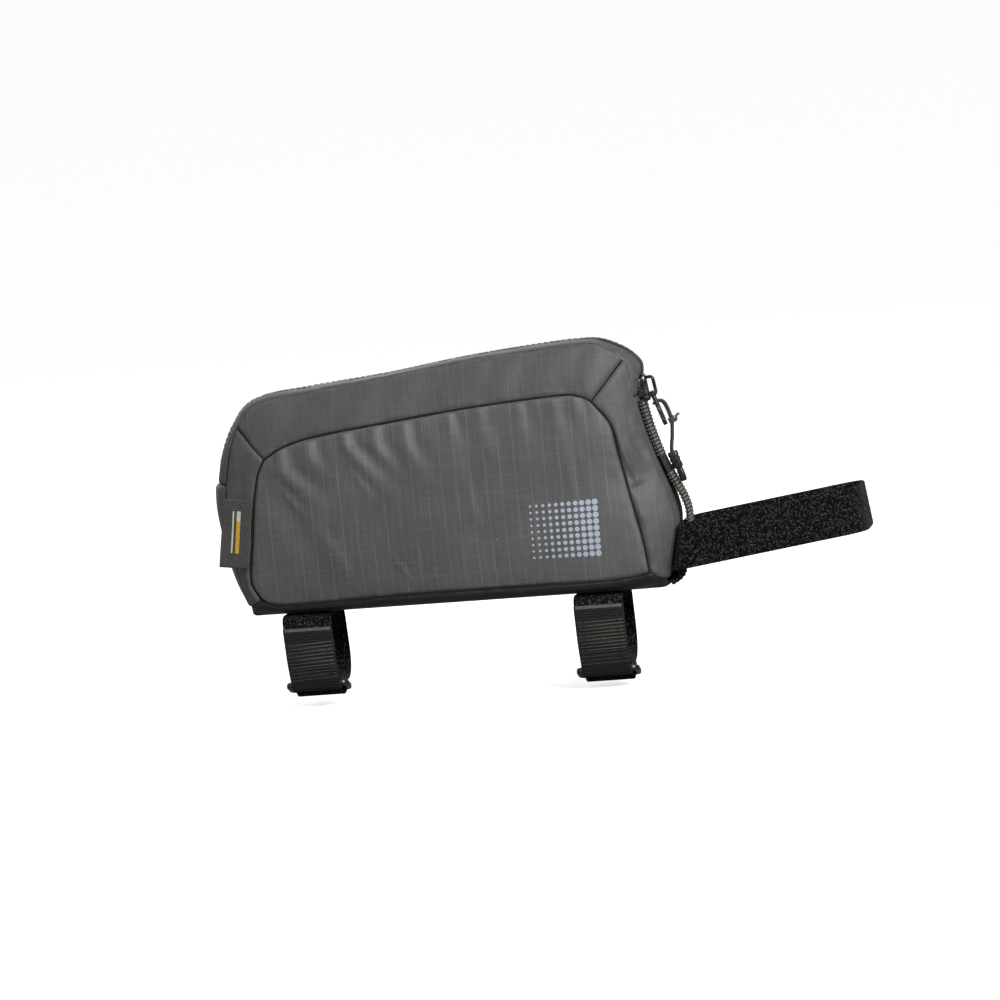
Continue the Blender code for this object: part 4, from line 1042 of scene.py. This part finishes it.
def sweepStrap(name, rowA, rowB, thick, cloth, body, nodes=(), slotName=None, columns=14, lastCloth=None,
               lastFrom=None):
    # A flat strap with round edges between two lines. It can change its cloth part of the way along
    rowA, rowB = np.array(rowA), np.array(rowB)
    side = rowB - rowA
    width = np.linalg.norm(side, axis=1)
    out = unit(np.cross(np.gradient((rowA + rowB) / 2, axis=0), side))
    edge = thick / 2 / width.mean()
    shares = np.concatenate([[0.35 * edge], np.linspace(edge, 1 - edge, columns), [1 - 0.35 * edge]])
    high = np.array([0.62] + [1.0] * columns + [0.62]) * thick / 2
    section = list(zip(shares, high)) + [(1.0, 0.0)] + list(zip(shares[::-1], -high[::-1])) + [(0.0, 0.0)]
    m, n = len(section), len(rowA)
    along = runOf((rowA + rowB) / 2)
    verts, uv, rim = [], [], []
    for row in range(n):
        for a, b in section:
            verts.append(rowA[row] + side[row] * a + out[row] * b)
            uv.append((a * width[row], along[row]))
            rim.append(min(a, 1 - a) * width[row])
    faces = ringFaces(n, m)
    changes = lastFrom is not None
    isLast = [changes and along[row] >= lastFrom for row in range(n - 1) for k in range(m)] + [False, changes]
    a, b, d = [verts[faces[0][n]] for n in (0, 1, 3)]
    if np.dot(np.cross(b - a, d - a), out[0]) < 0:
        faces = [f[::-1] for f in faces]
    return finishPiece(name, verts, faces, cloth, body, nodes, uv, rim, lastCloth, isLast)


def sweepTube(name, line, radius, cloth, body, nodes=(), around=10, closed=False, section=None,
              startSide=(0, 1, 0)):
    # A tube along a line. The section is (sideways, outwards) places where it isn't round
    line = np.array(line, float)
    ahead = np.gradient(line, axis=0)
    if closed:
        ahead = np.roll(line, -1, axis=0) - np.roll(line, 1, axis=0)
    ahead = unit(ahead)
    section = section or [(math.cos(math.tau * k / around), math.sin(math.tau * k / around)) for k in range(around)]
    side = np.array(startSide, float)
    verts, uv = [], []
    along = runOf(line)
    for row in range(len(line)):
        side = unit(side - ahead[row] * np.dot(side, ahead[row]))
        out = np.cross(ahead[row], side)
        reach = radius[row] if np.ndim(radius) else radius
        for k, (a, b) in enumerate(section):
            verts.append(line[row] + (side * a + out * b) * reach)
            uv.append((k / len(section) * 0.004, along[row]))
    faces = ringFaces(len(line), len(section), closed)
    return finishPiece(name, verts, faces, cloth, body, nodes, uv)


def splineLine(points, steps):
    points = np.array(points, float)
    ends = np.vstack([points[:1], points, points[-1:]])
    line = [between(*ends[n:n + 4], step / steps) for n in range(len(points) - 1) for step in range(steps)]
    return np.array(line + [points[-1]])


def squarish(angle, power):
    # A place on a square with round corners, from -1 to 1 each way
    c, s = math.cos(angle), math.sin(angle)
    return abs(c) ** power * math.copysign(1, c), abs(s) ** power * math.copysign(1, s)


def roundedSpots(half, high, low, corner):
    # A rectangle's outline with round corners
    spots = []
    for x, z, first in ((half - corner, high - corner, 0), (corner - half, high - corner, 90),
                        (corner - half, low + corner, 180), (half - corner, low + corner, 270)):
        for step in range(7):
            a = math.radians(first + 15 * step)
            spots.append((x + corner * math.cos(a), z + corner * math.sin(a)))
    return spots


# Zip: tape, coil and the stitches beside it

zipSizes = {"deep": 0.0034, "shallow": 0.0010, "under": 0.0016, "risesFrom": 27.6, "risesTo": 28.3, "tape": 0.0009,
            "toothPitch": 0.00112, "toothWide": 0.0031, "toothHigh": 0.0012, "toothApart": 0.00112,
            "toothUp": 0.0007, "stitchPitch": 0.0028, "stitch": (0.0004, 0.00032, 0.0020), "stitchFrom": 0.0019,
            "stitchDeep": 0.00006}


def zipSink(k):
    # The zip lies deep between its panels, and comes up towards the slider
    share = np.clip((k - zipSizes["risesFrom"]) / (zipSizes["risesTo"] - zipSizes["risesFrom"]), 0, 1)
    return zipSizes["deep"] + (zipSizes["shallow"] - zipSizes["deep"]) * share * share * (3 - 2 * share)


def raisedLine(k, y, up):
    # A line along the gusset, moved out of it
    out = outwardAt(k)
    return gussetSurface(k, y)[:, 0] + np.stack([out[:, 0], 0 * k, out[:, 1]], axis=1) * np.reshape(up, (-1, 1))


def buildZip():
    start, end = -bodySizes["zipRear"], bodySizes["longCells"] + bodySizes["zipFront"]
    k = start + fineSteps(230, 0.25) * (end - start)
    y = (2 * fineSteps(16, 0.012, roll=0.001, extra=2) - 1) * (bodySizes["zipHalf"] + zipSizes["under"])
    grid = gussetSurface(k, y)
    lift = np.broadcast_to(-zipSink(k)[:, None], grid.shape[:2])
    sewnPanel("woven_zip_tape", "zip_tape", grid, zipTapeCloth, runUv(grid), False, lift, zipSizes["tape"])
    k = np.linspace(start + 0.12, end - 0.12, 400)
    middle = raisedLine(k, np.array([0.0]), zipSizes["toothUp"] - zipSink(k))
    paths = [(middle[skip:] + np.array([0, side * zipSizes["toothApart"], 0]), (0, 1, 0))
             for side, skip in ((-1, 0), (1, 1))]
    tooth = (zipSizes["toothWide"], zipSizes["toothHigh"], zipSizes["toothPitch"] * 1.7)
    coil = layRow("zip_teeth", paths, "loop", zipSizes["toothPitch"], tooth, coilNylon)
    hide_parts("zip_coil")
    k = np.linspace(start + 0.25, end - 0.25, 300)
    paths = []
    for side in (-1, 1):
        y = np.full((len(k), 1), side * (bodySizes["zipHalf"] + zipSizes["stitchFrom"]))
        paths.append((raisedLine(k, y, -zipSizes["stitchDeep"]), (0, 1, 0)))
    layRow("zip_stitches", paths, "bead", zipSizes["stitchPitch"], zipSizes["stitch"], seamThread)


buildPiping()
buildZip()
print("piping and zip made")

# Slider and pull

# Slabs of the slider: name, two heights out, bevel and share of the outline's width
sliderLook = {"place": (0.091763, 0.0, 0.091776), "turn": -0.15925, "plate": 0.0019, "archWall": 0.0015,
              "archWide": 0.0022, "archLong": 0.0102, "archHigh": 0.0040,
              "slabs": [("plate", 0.0, 0.0019, 0.0006, 1.0), ("under", -0.0026, -0.00002, 0.0002, 0.78)]}
# One half of the slider's outline across and along, in mm, and the notch between its two shoulders
sliderHalf = [(-2.6, 6.2), (-3.6, 5.9), (-4.15, 5.1), (-4.2, 3.4), (-3.9, 1.6), (-3.3, -0.6), (-3.05, -3.2),
              (-3.0, -5.2), (-2.7, -6.0), (-1.9, -6.25)]
sliderOutline = sliderHalf + [(-a, b) for a, b in sliderHalf[::-1]] + [(1.0, 5.7), (-1.0, 5.7)]
# The tab's outlines: half width, top, low end and corner, each in metres
pullLook = {"place": (0.095424, 0.0, 0.089477), "turn": -0.33161, "thick": 0.0015, "bevel": 0.00014, "sharpFrom": 45,
            "outlines": [(0.0029, 0.0006, -0.0164, 0.0014), (0.0016, -0.0007, -0.0058, 0.0009),
                         (0.0011, -0.0125, -0.0149, 0.0010)]}
cordLook = {"radius": 0.00058, "apart": 0.00044, "spread": 0.00046}
# The cord's places out from the tab's axis and along it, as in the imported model
cordRoute = [(0.0, -0.00465), (0.00153, -0.00482), (0.00289, -0.00584), (0.00348, -0.00771), (0.00365, -0.01009),
             (0.00357, -0.01264), (0.00337, -0.01519), (0.00246, -0.01791), (0.00144, -0.02029), (0.00051, -0.0225),
             (-0.00068, -0.02471), (-0.0017, -0.02675), (-0.00238, -0.02879), (-0.00255, -0.03185), (-0.00262, -0.0349)]
knotLook = {"at": 6, "turns": 2.1, "steps": 40, "out": 0.00125, "across": 0.00150, "top": 0.0011, "long": 0.0024,
            "radius": 0.00056, "tip": 0.00042}
gripLook = {"place": (0.10255, 0.0, 0.06148), "turn": -0.29829, "around": 28, "square": 0.42}
# The grip's height down from its top, half thickness, half width and middle, in mm
gripRows = [(0.0, 1.7, 2.5, 0), (-0.25, 2.15, 2.95, 0), (-0.8, 2.3, 3.1, 0), (-2.3, 2.3, 3.1, 0), (-2.5, 2.0, 2.85, 0),
            (-2.9, 2.0, 2.85, 0), (-3.1, 2.3, 3.1, 0), (-4.6, 2.3, 3.1, 0), (-4.8, 2.0, 2.85, 0), (-5.2, 2.0, 2.85, 0),
            (-5.4, 2.3, 3.1, 0), (-7.4, 2.3, 3.1, 0), (-7.9, 2.1, 2.95, 0.1), (-8.1, 1.45, 2.4, 0.3),
            (-8.5, 1.35, 2.3, 0.35), (-9.1, 1.5, 2.45, 0.36), (-13.6, 1.5, 2.45, 0.36), (-14.3, 1.35, 2.25, 0.36),
            (-14.7, 0.9, 1.8, 0.36)]


def frameOf(look):
    return Matrix.Translation(look["place"]) @ Matrix.Rotation(look["turn"], 4, "Y")


def slab(outline, low, high, bevel, narrow):
    # A rounded plate from an outline of (across, along) in mm, between two heights out
    rows = [(low, 0.0), (high - bevel, 0.0), (high - bevel * 0.3, bevel * 0.35), (high, bevel)]
    outline = np.array([(a * narrow, b * (0.2 + 0.8 * narrow)) for a, b in outline]) / 1000
    inward = unit(outline.mean(axis=0) - outline)
    verts = [(out, *moved) for out, shrink in rows for moved in outline + inward * shrink]
    return verts, ringFaces(len(rows), len(outline))


def fixNormals(obj, weldBelow=None):
    shape = bmesh.new()
    shape.from_mesh(obj.data)
    if weldBelow:
        bmesh.ops.remove_doubles(shape, verts=shape.verts, dist=weldBelow)
    bmesh.ops.recalc_face_normals(shape, faces=shape.faces)
    shape.to_mesh(obj.data)
    shape.free()
    return obj


def joinPieces(name, pieces, body, nodes):
    # Several meshes as one piece
    shape, finishes = bmesh.new(), []
    for piece in pieces:
        start = len(finishes)
        finishes += list(piece.data.materials)
        before = len(shape.faces)
        shape.from_mesh(piece.data)
        shape.faces.ensure_lookup_table()
        for face in shape.faces[before:]:
            face.material_index += start
        bpy.data.objects.remove(piece)
    mesh = bpy.data.meshes.new(name)
    shape.to_mesh(mesh)
    shape.free()
    for finish in finishes:
        mesh.materials.append(finish)
    return tellPiece(newObject(name, mesh), body, nodes)


def buildSlider():
    place, wall = frameOf(sliderLook), sliderLook["archWall"]
    pieces = []
    for name, *sizes in sliderLook["slabs"]:
        verts, faces = slab(sliderOutline, *sizes)
        pieces.append(fixNormals(finishPiece(name, [place @ Vector(v) for v in verts], faces, darkMetal, "bag")))
    turn = sliderLook["archHigh"] * 0.42
    reach = sliderLook["archLong"] / 2 - wall / 2
    outTo = sliderLook["plate"] + sliderLook["archHigh"] - wall / 2
    line = belt([(-reach, 0.001, 0), (-reach + turn, outTo - turn, -turn), (reach - turn, outTo - turn, -turn),
                 (reach, 0.001, 0)], 8)
    rows = [[tuple(place @ Vector((out, side * sliderLook["archWide"] / 2, along))) for along, out in line]
            for side in (-1, 1)]
    pieces.append(sweepStrap("arch", *fillLine(rows, 0.0008), wall, darkMetal, "bag", columns=4))
    joinPieces("metal_slider", pieces, "bag", ["zip_slider"])


def buildTab():
    bevel = pullLook["bevel"]
    curve = bpy.data.curves.new("tab", "CURVE")
    curve.dimensions, curve.fill_mode = "2D", "BOTH"
    curve.extrude, curve.bevel_depth, curve.bevel_resolution = pullLook["thick"] / 2 - bevel, bevel, 1
    # The bevel grows the tab's own outline, so that one is drawn smaller
    for inset, (half, high, low, corner) in zip((bevel, 0, 0), pullLook["outlines"]):
        spots = roundedSpots(half - inset, high - inset, low + inset, corner)
        line = curve.splines.new("POLY")
        line.points.add(len(spots) - 1)
        for spot, (a, b) in zip(line.points, spots):
            spot.co = (a, b, 0, 1)
        line.use_cyclic_u = True
    holder = newObject("tab", curve)
    mesh = bpy.data.meshes.new_from_object(holder.evaluated_get(bpy.context.evaluated_depsgraph_get()))
    bpy.data.objects.remove(holder)
    turn = Matrix(((0, 0, 1, 0), (1, 0, 0, 0), (0, 1, 0, 0), (0, 0, 0, 1)))
    mesh.transform(frameOf(pullLook) @ turn)
    mesh.materials.clear()
    mesh.materials.append(darkMetal)
    mesh.shade_smooth()
    mesh.set_sharp_from_angle(angle=math.radians(pullLook["sharpFrom"]))
    tab = fixNormals(newObject("metal_pull_tab", mesh), 0.000004)
    tellPiece(tab, "zip_pull", ["pull_tab"])


def buildCord():
    place, apart, spread = frameOf(pullLook), cordLook["apart"], cordLook["spread"]

    def strand(side):
        # One of the two strands, which spread where they pass round the tab's end
        return [(x - side * spread * min(n / 3, 1), side * apart, z - side * spread * 0.5 * (n < 4))
                for n, (x, z) in enumerate(cordRoute)]

    behind = [(-0.0010, -apart * 0.95, -0.0050), (-0.0014, 0.0, -0.0053), (-0.0010, apart * 0.95, -0.0050)]
    line = splineLine([tuple(place @ Vector(p)) for p in strand(-1)[::-1] + behind + strand(1)], 6)
    grip = buildGrip()
    knot = buildKnot(place)
    cord = sweepTube("braided_cord", line, cordLook["radius"], braid, "zip_pull", ["pull_cord"], around=10)


def buildKnot(place):
    # Two turns round both strands, and a short tail
    look = knotLook
    atX, atZ = cordRoute[look["at"]]
    line = []
    for n in range(look["steps"] + 1):
        a = math.tau * look["turns"] * n / look["steps"] - 0.6
        line.append((atX + look["out"] * math.cos(a), look["across"] * math.sin(a),
                     atZ + look["top"] - look["long"] * n / look["steps"]))
    end = line[-1]
    tail = [(end[0] + 0.0009, end[1] - 0.0002, end[2] + 0.0006), (atX + 0.0026, end[1], atZ + 0.0008),
            (atX + 0.0043, end[1] + 0.0002, atZ + 0.0013)]
    line = np.vstack([np.array(line), splineLine([end, *tail], 5)[1:]])
    world = [tuple(place @ Vector(p)) for p in line]
    radius = np.full(len(world), look["radius"])
    radius[-1] = look["tip"]
    return sweepTube("cord_knot_turns", world, radius, braid, "zip_pull", ["cord_knot"], around=9)


def buildGrip():
    place, around, verts = frameOf(gripLook), gripLook["around"], []
    for z, thick, wide, middle in gripRows:
        for n in range(around):
            x, y = squarish(math.tau * n / around, gripLook["square"])
            verts.append(place @ Vector(((x * thick + middle) / 1000, y * wide / 1000, z / 1000)))
    faces = ringFaces(len(gripRows), around)
    return fixNormals(finishPiece("moulded_grip", verts, faces, blackPlastic, "zip_pull", ["pull_grip"]))


buildSlider()
buildTab()
buildCord()
print("slider and pull made")

# Webbing on the front

webLook = {"wide": 0.020, "thick": 0.0013, "ribPitch": 0.0017, "rib": (0.0196, 0.00095, 0.00100), "tilt": 0.0021,
           "tiltFrom": 0.016, "tiltOver": 0.009, "patch": (0.027, 0.036), "stitchPitch": 0.0022,
           "stitch": (0.00042, 0.0004, 0.0017), "stitchInset": 0.0022,
           "route": [(0.09100, 0.08640), (0.09287, 0.07714), (0.09574, 0.06698), (0.09921, 0.05690), (0.10389, 0.04702),
                     (0.10688, 0.04023), (0.10835, 0.03464), (0.10825, 0.02707), (0.10650, 0.01811), (0.10420, 0.0090),
                     (0.10180, 0.0052), (0.09780, 0.0030)]}


def frontOf(across, ahead):
    # Out of a strap's face, to the front where its middle is
    out = unit(np.cross(across, ahead))
    return out * np.sign(out[len(out) // 2, 0])


def buildWebbing():
    look = webLook
    line = splineLine([(x, 0.0, z) for x, z in look["route"]], 12)
    run, ahead = runOf(line), np.gradient(line, axis=0)
    # Below the strap its near edge hangs lower, so its face shows
    tilt = (look["tilt"] * np.clip((look["tiltFrom"] - line[:, 2]) / look["tiltOver"], 0, 1))[:, None]
    out = frontOf(np.array([0, 1, 0]), ahead)
    rows = [line + np.array([0, side * look["wide"] / 2, 0]) - side * tilt * out for side in (-1, 1)]
    sweepStrap("grosgrain_webbing", *rows, look["thick"], grosgrain, "bag", ["front_webbing"], "grosgrain", columns=16)
    across = rows[1] - rows[0]
    out = frontOf(across, ahead)
    paths = []
    # The ribs stop where the patch is sewn flat
    low, high = look["patch"]
    for first, last in ((0.0015, low), (high, run[-1] - 0.0012)):
        keep = (run >= first) & (run <= last)
        for face in (1, -1):
            paths.append((line[keep] + out[keep] * face * look["thick"] * 0.42, across[keep]))
    layRow("webbing_ribs", paths, "bar", look["ribPitch"], look["rib"], webThread)
    paths = []
    reach, up = look["wide"] / 2 - look["stitchInset"], look["thick"] * 0.55
    for side in (-1, 1):
        keep = (run >= low + 0.001) & (run <= high - 0.001)
        paths.append((line[keep] + out[keep] * up + np.array([0, side * reach, 0]), (0, 1, 0)))
    for share in (0.15, 0.85):
        n = int(np.argmin(np.abs(run - (low + (high - low) * share))))
        y = np.linspace(-reach, reach, 20)
        paths.append((line[n] + out[n] * up + np.stack([0 * y, y, 0 * y], axis=1), tuple(unit(ahead[n]))))
    layRow("webbing_stitches", paths, "bead", look["stitchPitch"], look["stitch"], darkThread)


# Strap round the stem

stemLook = {"middle": (0.10220, 0.0, 0.0186), "rise": math.radians(7.7), "wide": 0.0210, "thick": 0.0018,
            "rear": (-0.002493, 0.005032), "depth": 0.0872, "stem": 0.041, "frontRound": 0.009, "rearRound": 0.004,
            "overlap": 0.036, "gap": 0.00035, "loops": 0.0003, "pile": 420000.0, "pileSize": (0.0005, 0.0005, 0.00055)}


def buildStemStrap():
    look = stemLook
    ahead = Vector((math.cos(look["rise"]), 0, math.sin(look["rise"])))
    up = Vector((-ahead.z, 0, ahead.x))
    lift, half = look["thick"] / 2, look["stem"] / 2
    outer = look["thick"] + look["gap"]
    rows = []
    for side, rear in zip((-1, 1), look["rear"]):
        rearTurn, frontTurn = look["rearRound"] + lift, look["frontRound"] + lift
        line = belt([(rear + look["overlap"], half + lift, 0), (rear + rearTurn, half - look["rearRound"], rearTurn),
                     (rear + rearTurn, -half + look["rearRound"], rearTurn),
                     (look["depth"] - look["frontRound"], -half + look["frontRound"], frontTurn),
                     (look["depth"] - look["frontRound"], half - look["frontRound"] + outer, frontTurn),
                     (rear + look["rearRound"], half + lift + outer, 0)], 9)
        edge = Vector(look["middle"]) + up * (side * look["wide"] / 2)
        rows.append([tuple(edge + ahead * a + Vector((0, b, 0))) for a, b in line])
    rows = fillLine(rows, 0.0022)
    strap = sweepStrap("pile_stem_strap", *rows, look["thick"] - look["loops"], loopPile, "bag", ["stem_strap"],
                       "hook_and_loop", columns=12)
    grow("stem_strap_loops", strap.data.copy(), pileTree,
         {"density": look["pile"], "size": look["pileSize"], "seed": 7, "finish": loopPile})


# Straps round the tube, and their rings

tubeStraps = {
    "rear": {"along": -0.3322 * bodySizes["length"], "ringDrop": 0.0002, "hem": 0.0066, "lean": 0.058},
    "front": {"along": 0.3037 * bodySizes["length"], "ringDrop": 0.0026, "hem": 0.0052, "lean": 0.036},
}
strapLook = {"wide": 0.023, "thick": 0.0015, "gap": 0.00035, "tube": (0.038, 0.031), "topRound": 0.004,
             "lowRound": 0.013, "rod": 0.0027, "ringInner": 0.0075, "slack": 0.001, "tilt": math.radians(19),
             "ribPitch": 0.00155, "rib": (0.0216, 0.00044, 0.00056), "line": (0.0214, 0.00052, 0.00056),
             "knitPitch": 0.0009, "knit": (0.0220, 0.00034, 0.00085), "linesFrom": 0.0064, "linesTo": 0.58,
             "ribsTo": 0.8, "hemHigh": 0.0012, "columns": (0.0036, 0.0195), "stitchPitch": 0.0021,
             "stitch": (0.00052, 0.00042, 0.0016), "wave": 0.00042}


def tubeStrapLine(look, strap):
    # From the free end round the near bar, over the tube and round the far bar, as (y, z), and the two bars' places
    top, lift = -look["gap"] - look["thick"] / 2, look["thick"] / 2
    tubeTop = top - lift
    half, low = look["tube"][0] / 2, tubeTop - look["tube"][1]
    wrap = look["rod"] / 2 + look["gap"] + lift
    second = look["thick"] + look["gap"]
    room = look["lowRound"] + look["thick"] + 2 * look["gap"] + look["rod"] / 2
    drop = look["lowRound"] + strap["ringDrop"]
    outBy = math.sqrt(max(room ** 2 - drop ** 2, (room / 2) ** 2))
    nearBar = (-half + look["lowRound"] - outBy, low - strap["ringDrop"])
    reach = look["ringInner"] + look["rod"]
    farBar = (nearBar[0] + reach * math.cos(look["tilt"]), nearBar[1] - reach * math.sin(look["tilt"]))
    lowTurn, topTurn = look["lowRound"] + lift, look["topRound"] + lift
    lowNear = (-half + look["lowRound"], low + look["lowRound"])
    topNear = (-half + look["topRound"], tubeTop - look["topRound"])
    line = belt([(-half - lift - second, -strap["hem"], 0), (*lowNear, lowTurn + second), (*nearBar, wrap),
                 (*lowNear, -lowTurn), (*topNear, -topTurn), (-topNear[0], topNear[1], -topTurn),
                 (-lowNear[0], lowNear[1], -lowTurn), (*farBar, wrap), (-lowNear[0], low - lift - second, 0)], 9)
    return line, nearBar, farBar, reach


def buildTubeStrap(word, strap):
    look, thick = strapLook, strapLook["thick"]
    line, nearBar, farBar, reach = tubeStrapLine(look, strap)

    def at(y, z, share=0.5):
        return (strap["along"] + (share - 0.5) * look["wide"] - strap["lean"] * z, y, z)

    rows = fillLine([[at(y, z, share) for y, z in line] for share in (0.0, 1.0)], 0.0012)
    middle, side = (rows[0] + rows[1]) / 2, rows[1] - rows[0]
    run, ahead = runOf(middle), np.gradient(middle, axis=0)
    foldAt = float(run[int(np.argmin(middle[: len(middle) // 2, 2]))])
    sweepStrap(f"webbing_strap_{word}", *rows, thick, strapWebbing, "bag", [f"{word}_strap"], "webbing", columns=14,
               lastCloth=loopPile, lastFrom=foldAt + 0.004)
    out = unit(np.cross(ahead, side))
    if out[3, 1] > 0:
        out = -out
    outer = middle + out * thick * 0.46
    linesTo, ribsTo = foldAt * look["linesTo"], foldAt * look["ribsTo"]
    for name, low, high, shape, pitch, size, finish, count in (
            ("lines", look["linesFrom"], linesTo, "bar", look["ribPitch"], look["line"], lineThread, 1),
            ("ribs", linesTo, ribsTo, "beadRow", look["ribPitch"], look["rib"], ribThread, 18),
            ("knit", ribsTo, foldAt + 0.002, "beadRow", look["knitPitch"], look["knit"], strapWebbing, 22)):
        keep = (run > low) & (run < high)
        layRow(f"strap_{name}_{word}", [(outer[keep], (1, 0, 0))], shape, pitch, size, finish, count)
    # The light hem across the free end, and wandering rows of stitches under it
    hem = int(np.argmin(np.abs(run - look["hemHigh"])))
    face = middle + out * thick * 0.12
    rise = (face[0] - face[hem]) * 0.12
    edges = [face + (row - middle) * 0.97 for row in rows]
    hemRows = fillLine([[tuple(edge[0] + rise), tuple(edge[hem])] for edge in edges], 0.0004)
    sweepStrap(f"strap_hem_{word}", *hemRows, thick * 1.12, hemThread, "bag", (), "webbing", columns=10)
    paths = []
    x = np.linspace(0.06, 0.94, 60)
    for down, phase in ((0.0024, 0.0), (0.0034, 1.7), (0.0044, 3.1), (0.0054, 4.4)):
        n = int(np.argmin(np.abs(run - down)))
        spots = rows[0][n] + side[n] * x[:, None] + out[n] * thick * 0.56
        paths.append((spots + unit(ahead[n]) * (look["wave"] * np.sin(x * 21 + phase))[:, None], (0, 0, 1)))
    keep = (run > 0.0045) & (run < foldAt * 0.72)
    for across in look["columns"]:
        shift = side * (across / look["wide"] - 0.5)
        paths.append(((outer + shift + out * 0.0002)[keep], (1, 0, 0)))
    layRow(f"strap_stitches_{word}", paths, "bead", look["stitchPitch"], look["stitch"], darkThread)
    centre = Vector(at((nearBar[0] + farBar[0]) / 2, (nearBar[1] + farBar[1]) / 2))
    buildRing(word, centre, reach)


def buildRing(word, centre, reach):
    look = strapLook
    turn = Matrix.Rotation(-look["tilt"], 4, "X")
    half = (look["wide"] + look["slack"] + look["rod"]) / 2
    spots = [(*spot, 0) for spot in roundedSpots(half, reach / 2, -reach / 2, look["rod"] * 0.75)]
    spots = fillLine([[*spots, spots[0]]], 0.0016)[0][:-1]
    world = [tuple(centre + turn @ Vector(p)) for p in spots]
    section = [squarish(math.tau * (n + 0.5) / 16, 0.55) for n in range(16)]
    fixNormals(sweepTube(f"moulded_ring_{word}", world, look["rod"] / 2 * 0.97, blackPlastic, "bag", [f"{word}_ring"],
                         closed=True, section=section, startSide=tuple(turn @ Vector((0, 0, 1)))))


# Side label, folded at its outer end

labelSizes = {"place": (-0.09327, -0.02199, 0.0385), "lean": 0.13444, "toFront": -0.06981, "wide": 0.0138,
              "long": 0.0318, "ply": 0.00028, "apart": 0.0004, "steps": 22, "foldSteps": 8, "foldOut": 0.0005,
              "curl": 0.00075, "wave": 0.00022}


def buildLabel():
    look = labelSizes
    wide, long, apart, steps = look["wide"], look["long"], look["apart"] / 2, look["steps"]
    section = [(-0.0002 - (wide - 0.0006) * n / steps, -apart) for n in range(steps + 1)]
    for n in range(1, look["foldSteps"]):
        a = math.pi * n / look["foldSteps"]
        section.append((section[steps][0] - look["foldOut"] * math.sin(a), -apart * math.cos(a)))
    section += [(x, apart) for x, y in section[steps::-1]]
    along = np.linspace(-long / 2, long / 2, 40)
    turn = Matrix.Rotation(look["toFront"], 4, "Z") @ Matrix.Rotation(look["lean"], 4, "Y")
    turn = Matrix.Translation(look["place"]) @ turn
    points = np.zeros((len(along), len(section), 3))
    for i, z in enumerate(along):
        for j, (x, y) in enumerate(section):
            share = -x / wide
            curl = -look["curl"] * share ** 2 * (0.35 + 0.65 * (z / long - 0.35) ** 2 * 2.2)
            wave = look["wave"] * math.sin(z * 260 + 1.0) * share
            points[i, j] = tuple(turn @ Vector((x, y + curl + wave, z)))
    run = runOf(np.array([(x, y, 0) for x, y in section]))
    folded, up = np.broadcast_arrays(np.minimum(run, run[-1] - run)[None, :], (along + 0.05)[:, None])
    flip = float(gridNormals(points)[20, 5][1]) > 0
    obj = meshFromGrid("woven_label", points, labelTwill, np.stack([folded, up], axis=-1), np.ones(folded.shape),
                       look["ply"], flip)
    tellPiece(obj, "bag", ["side_label"])


buildWebbing()
buildStemStrap()
for word, strap in tubeStraps.items():
    buildTubeStrap(word, strap)
buildLabel()
print("straps, rings, webbing and label made")
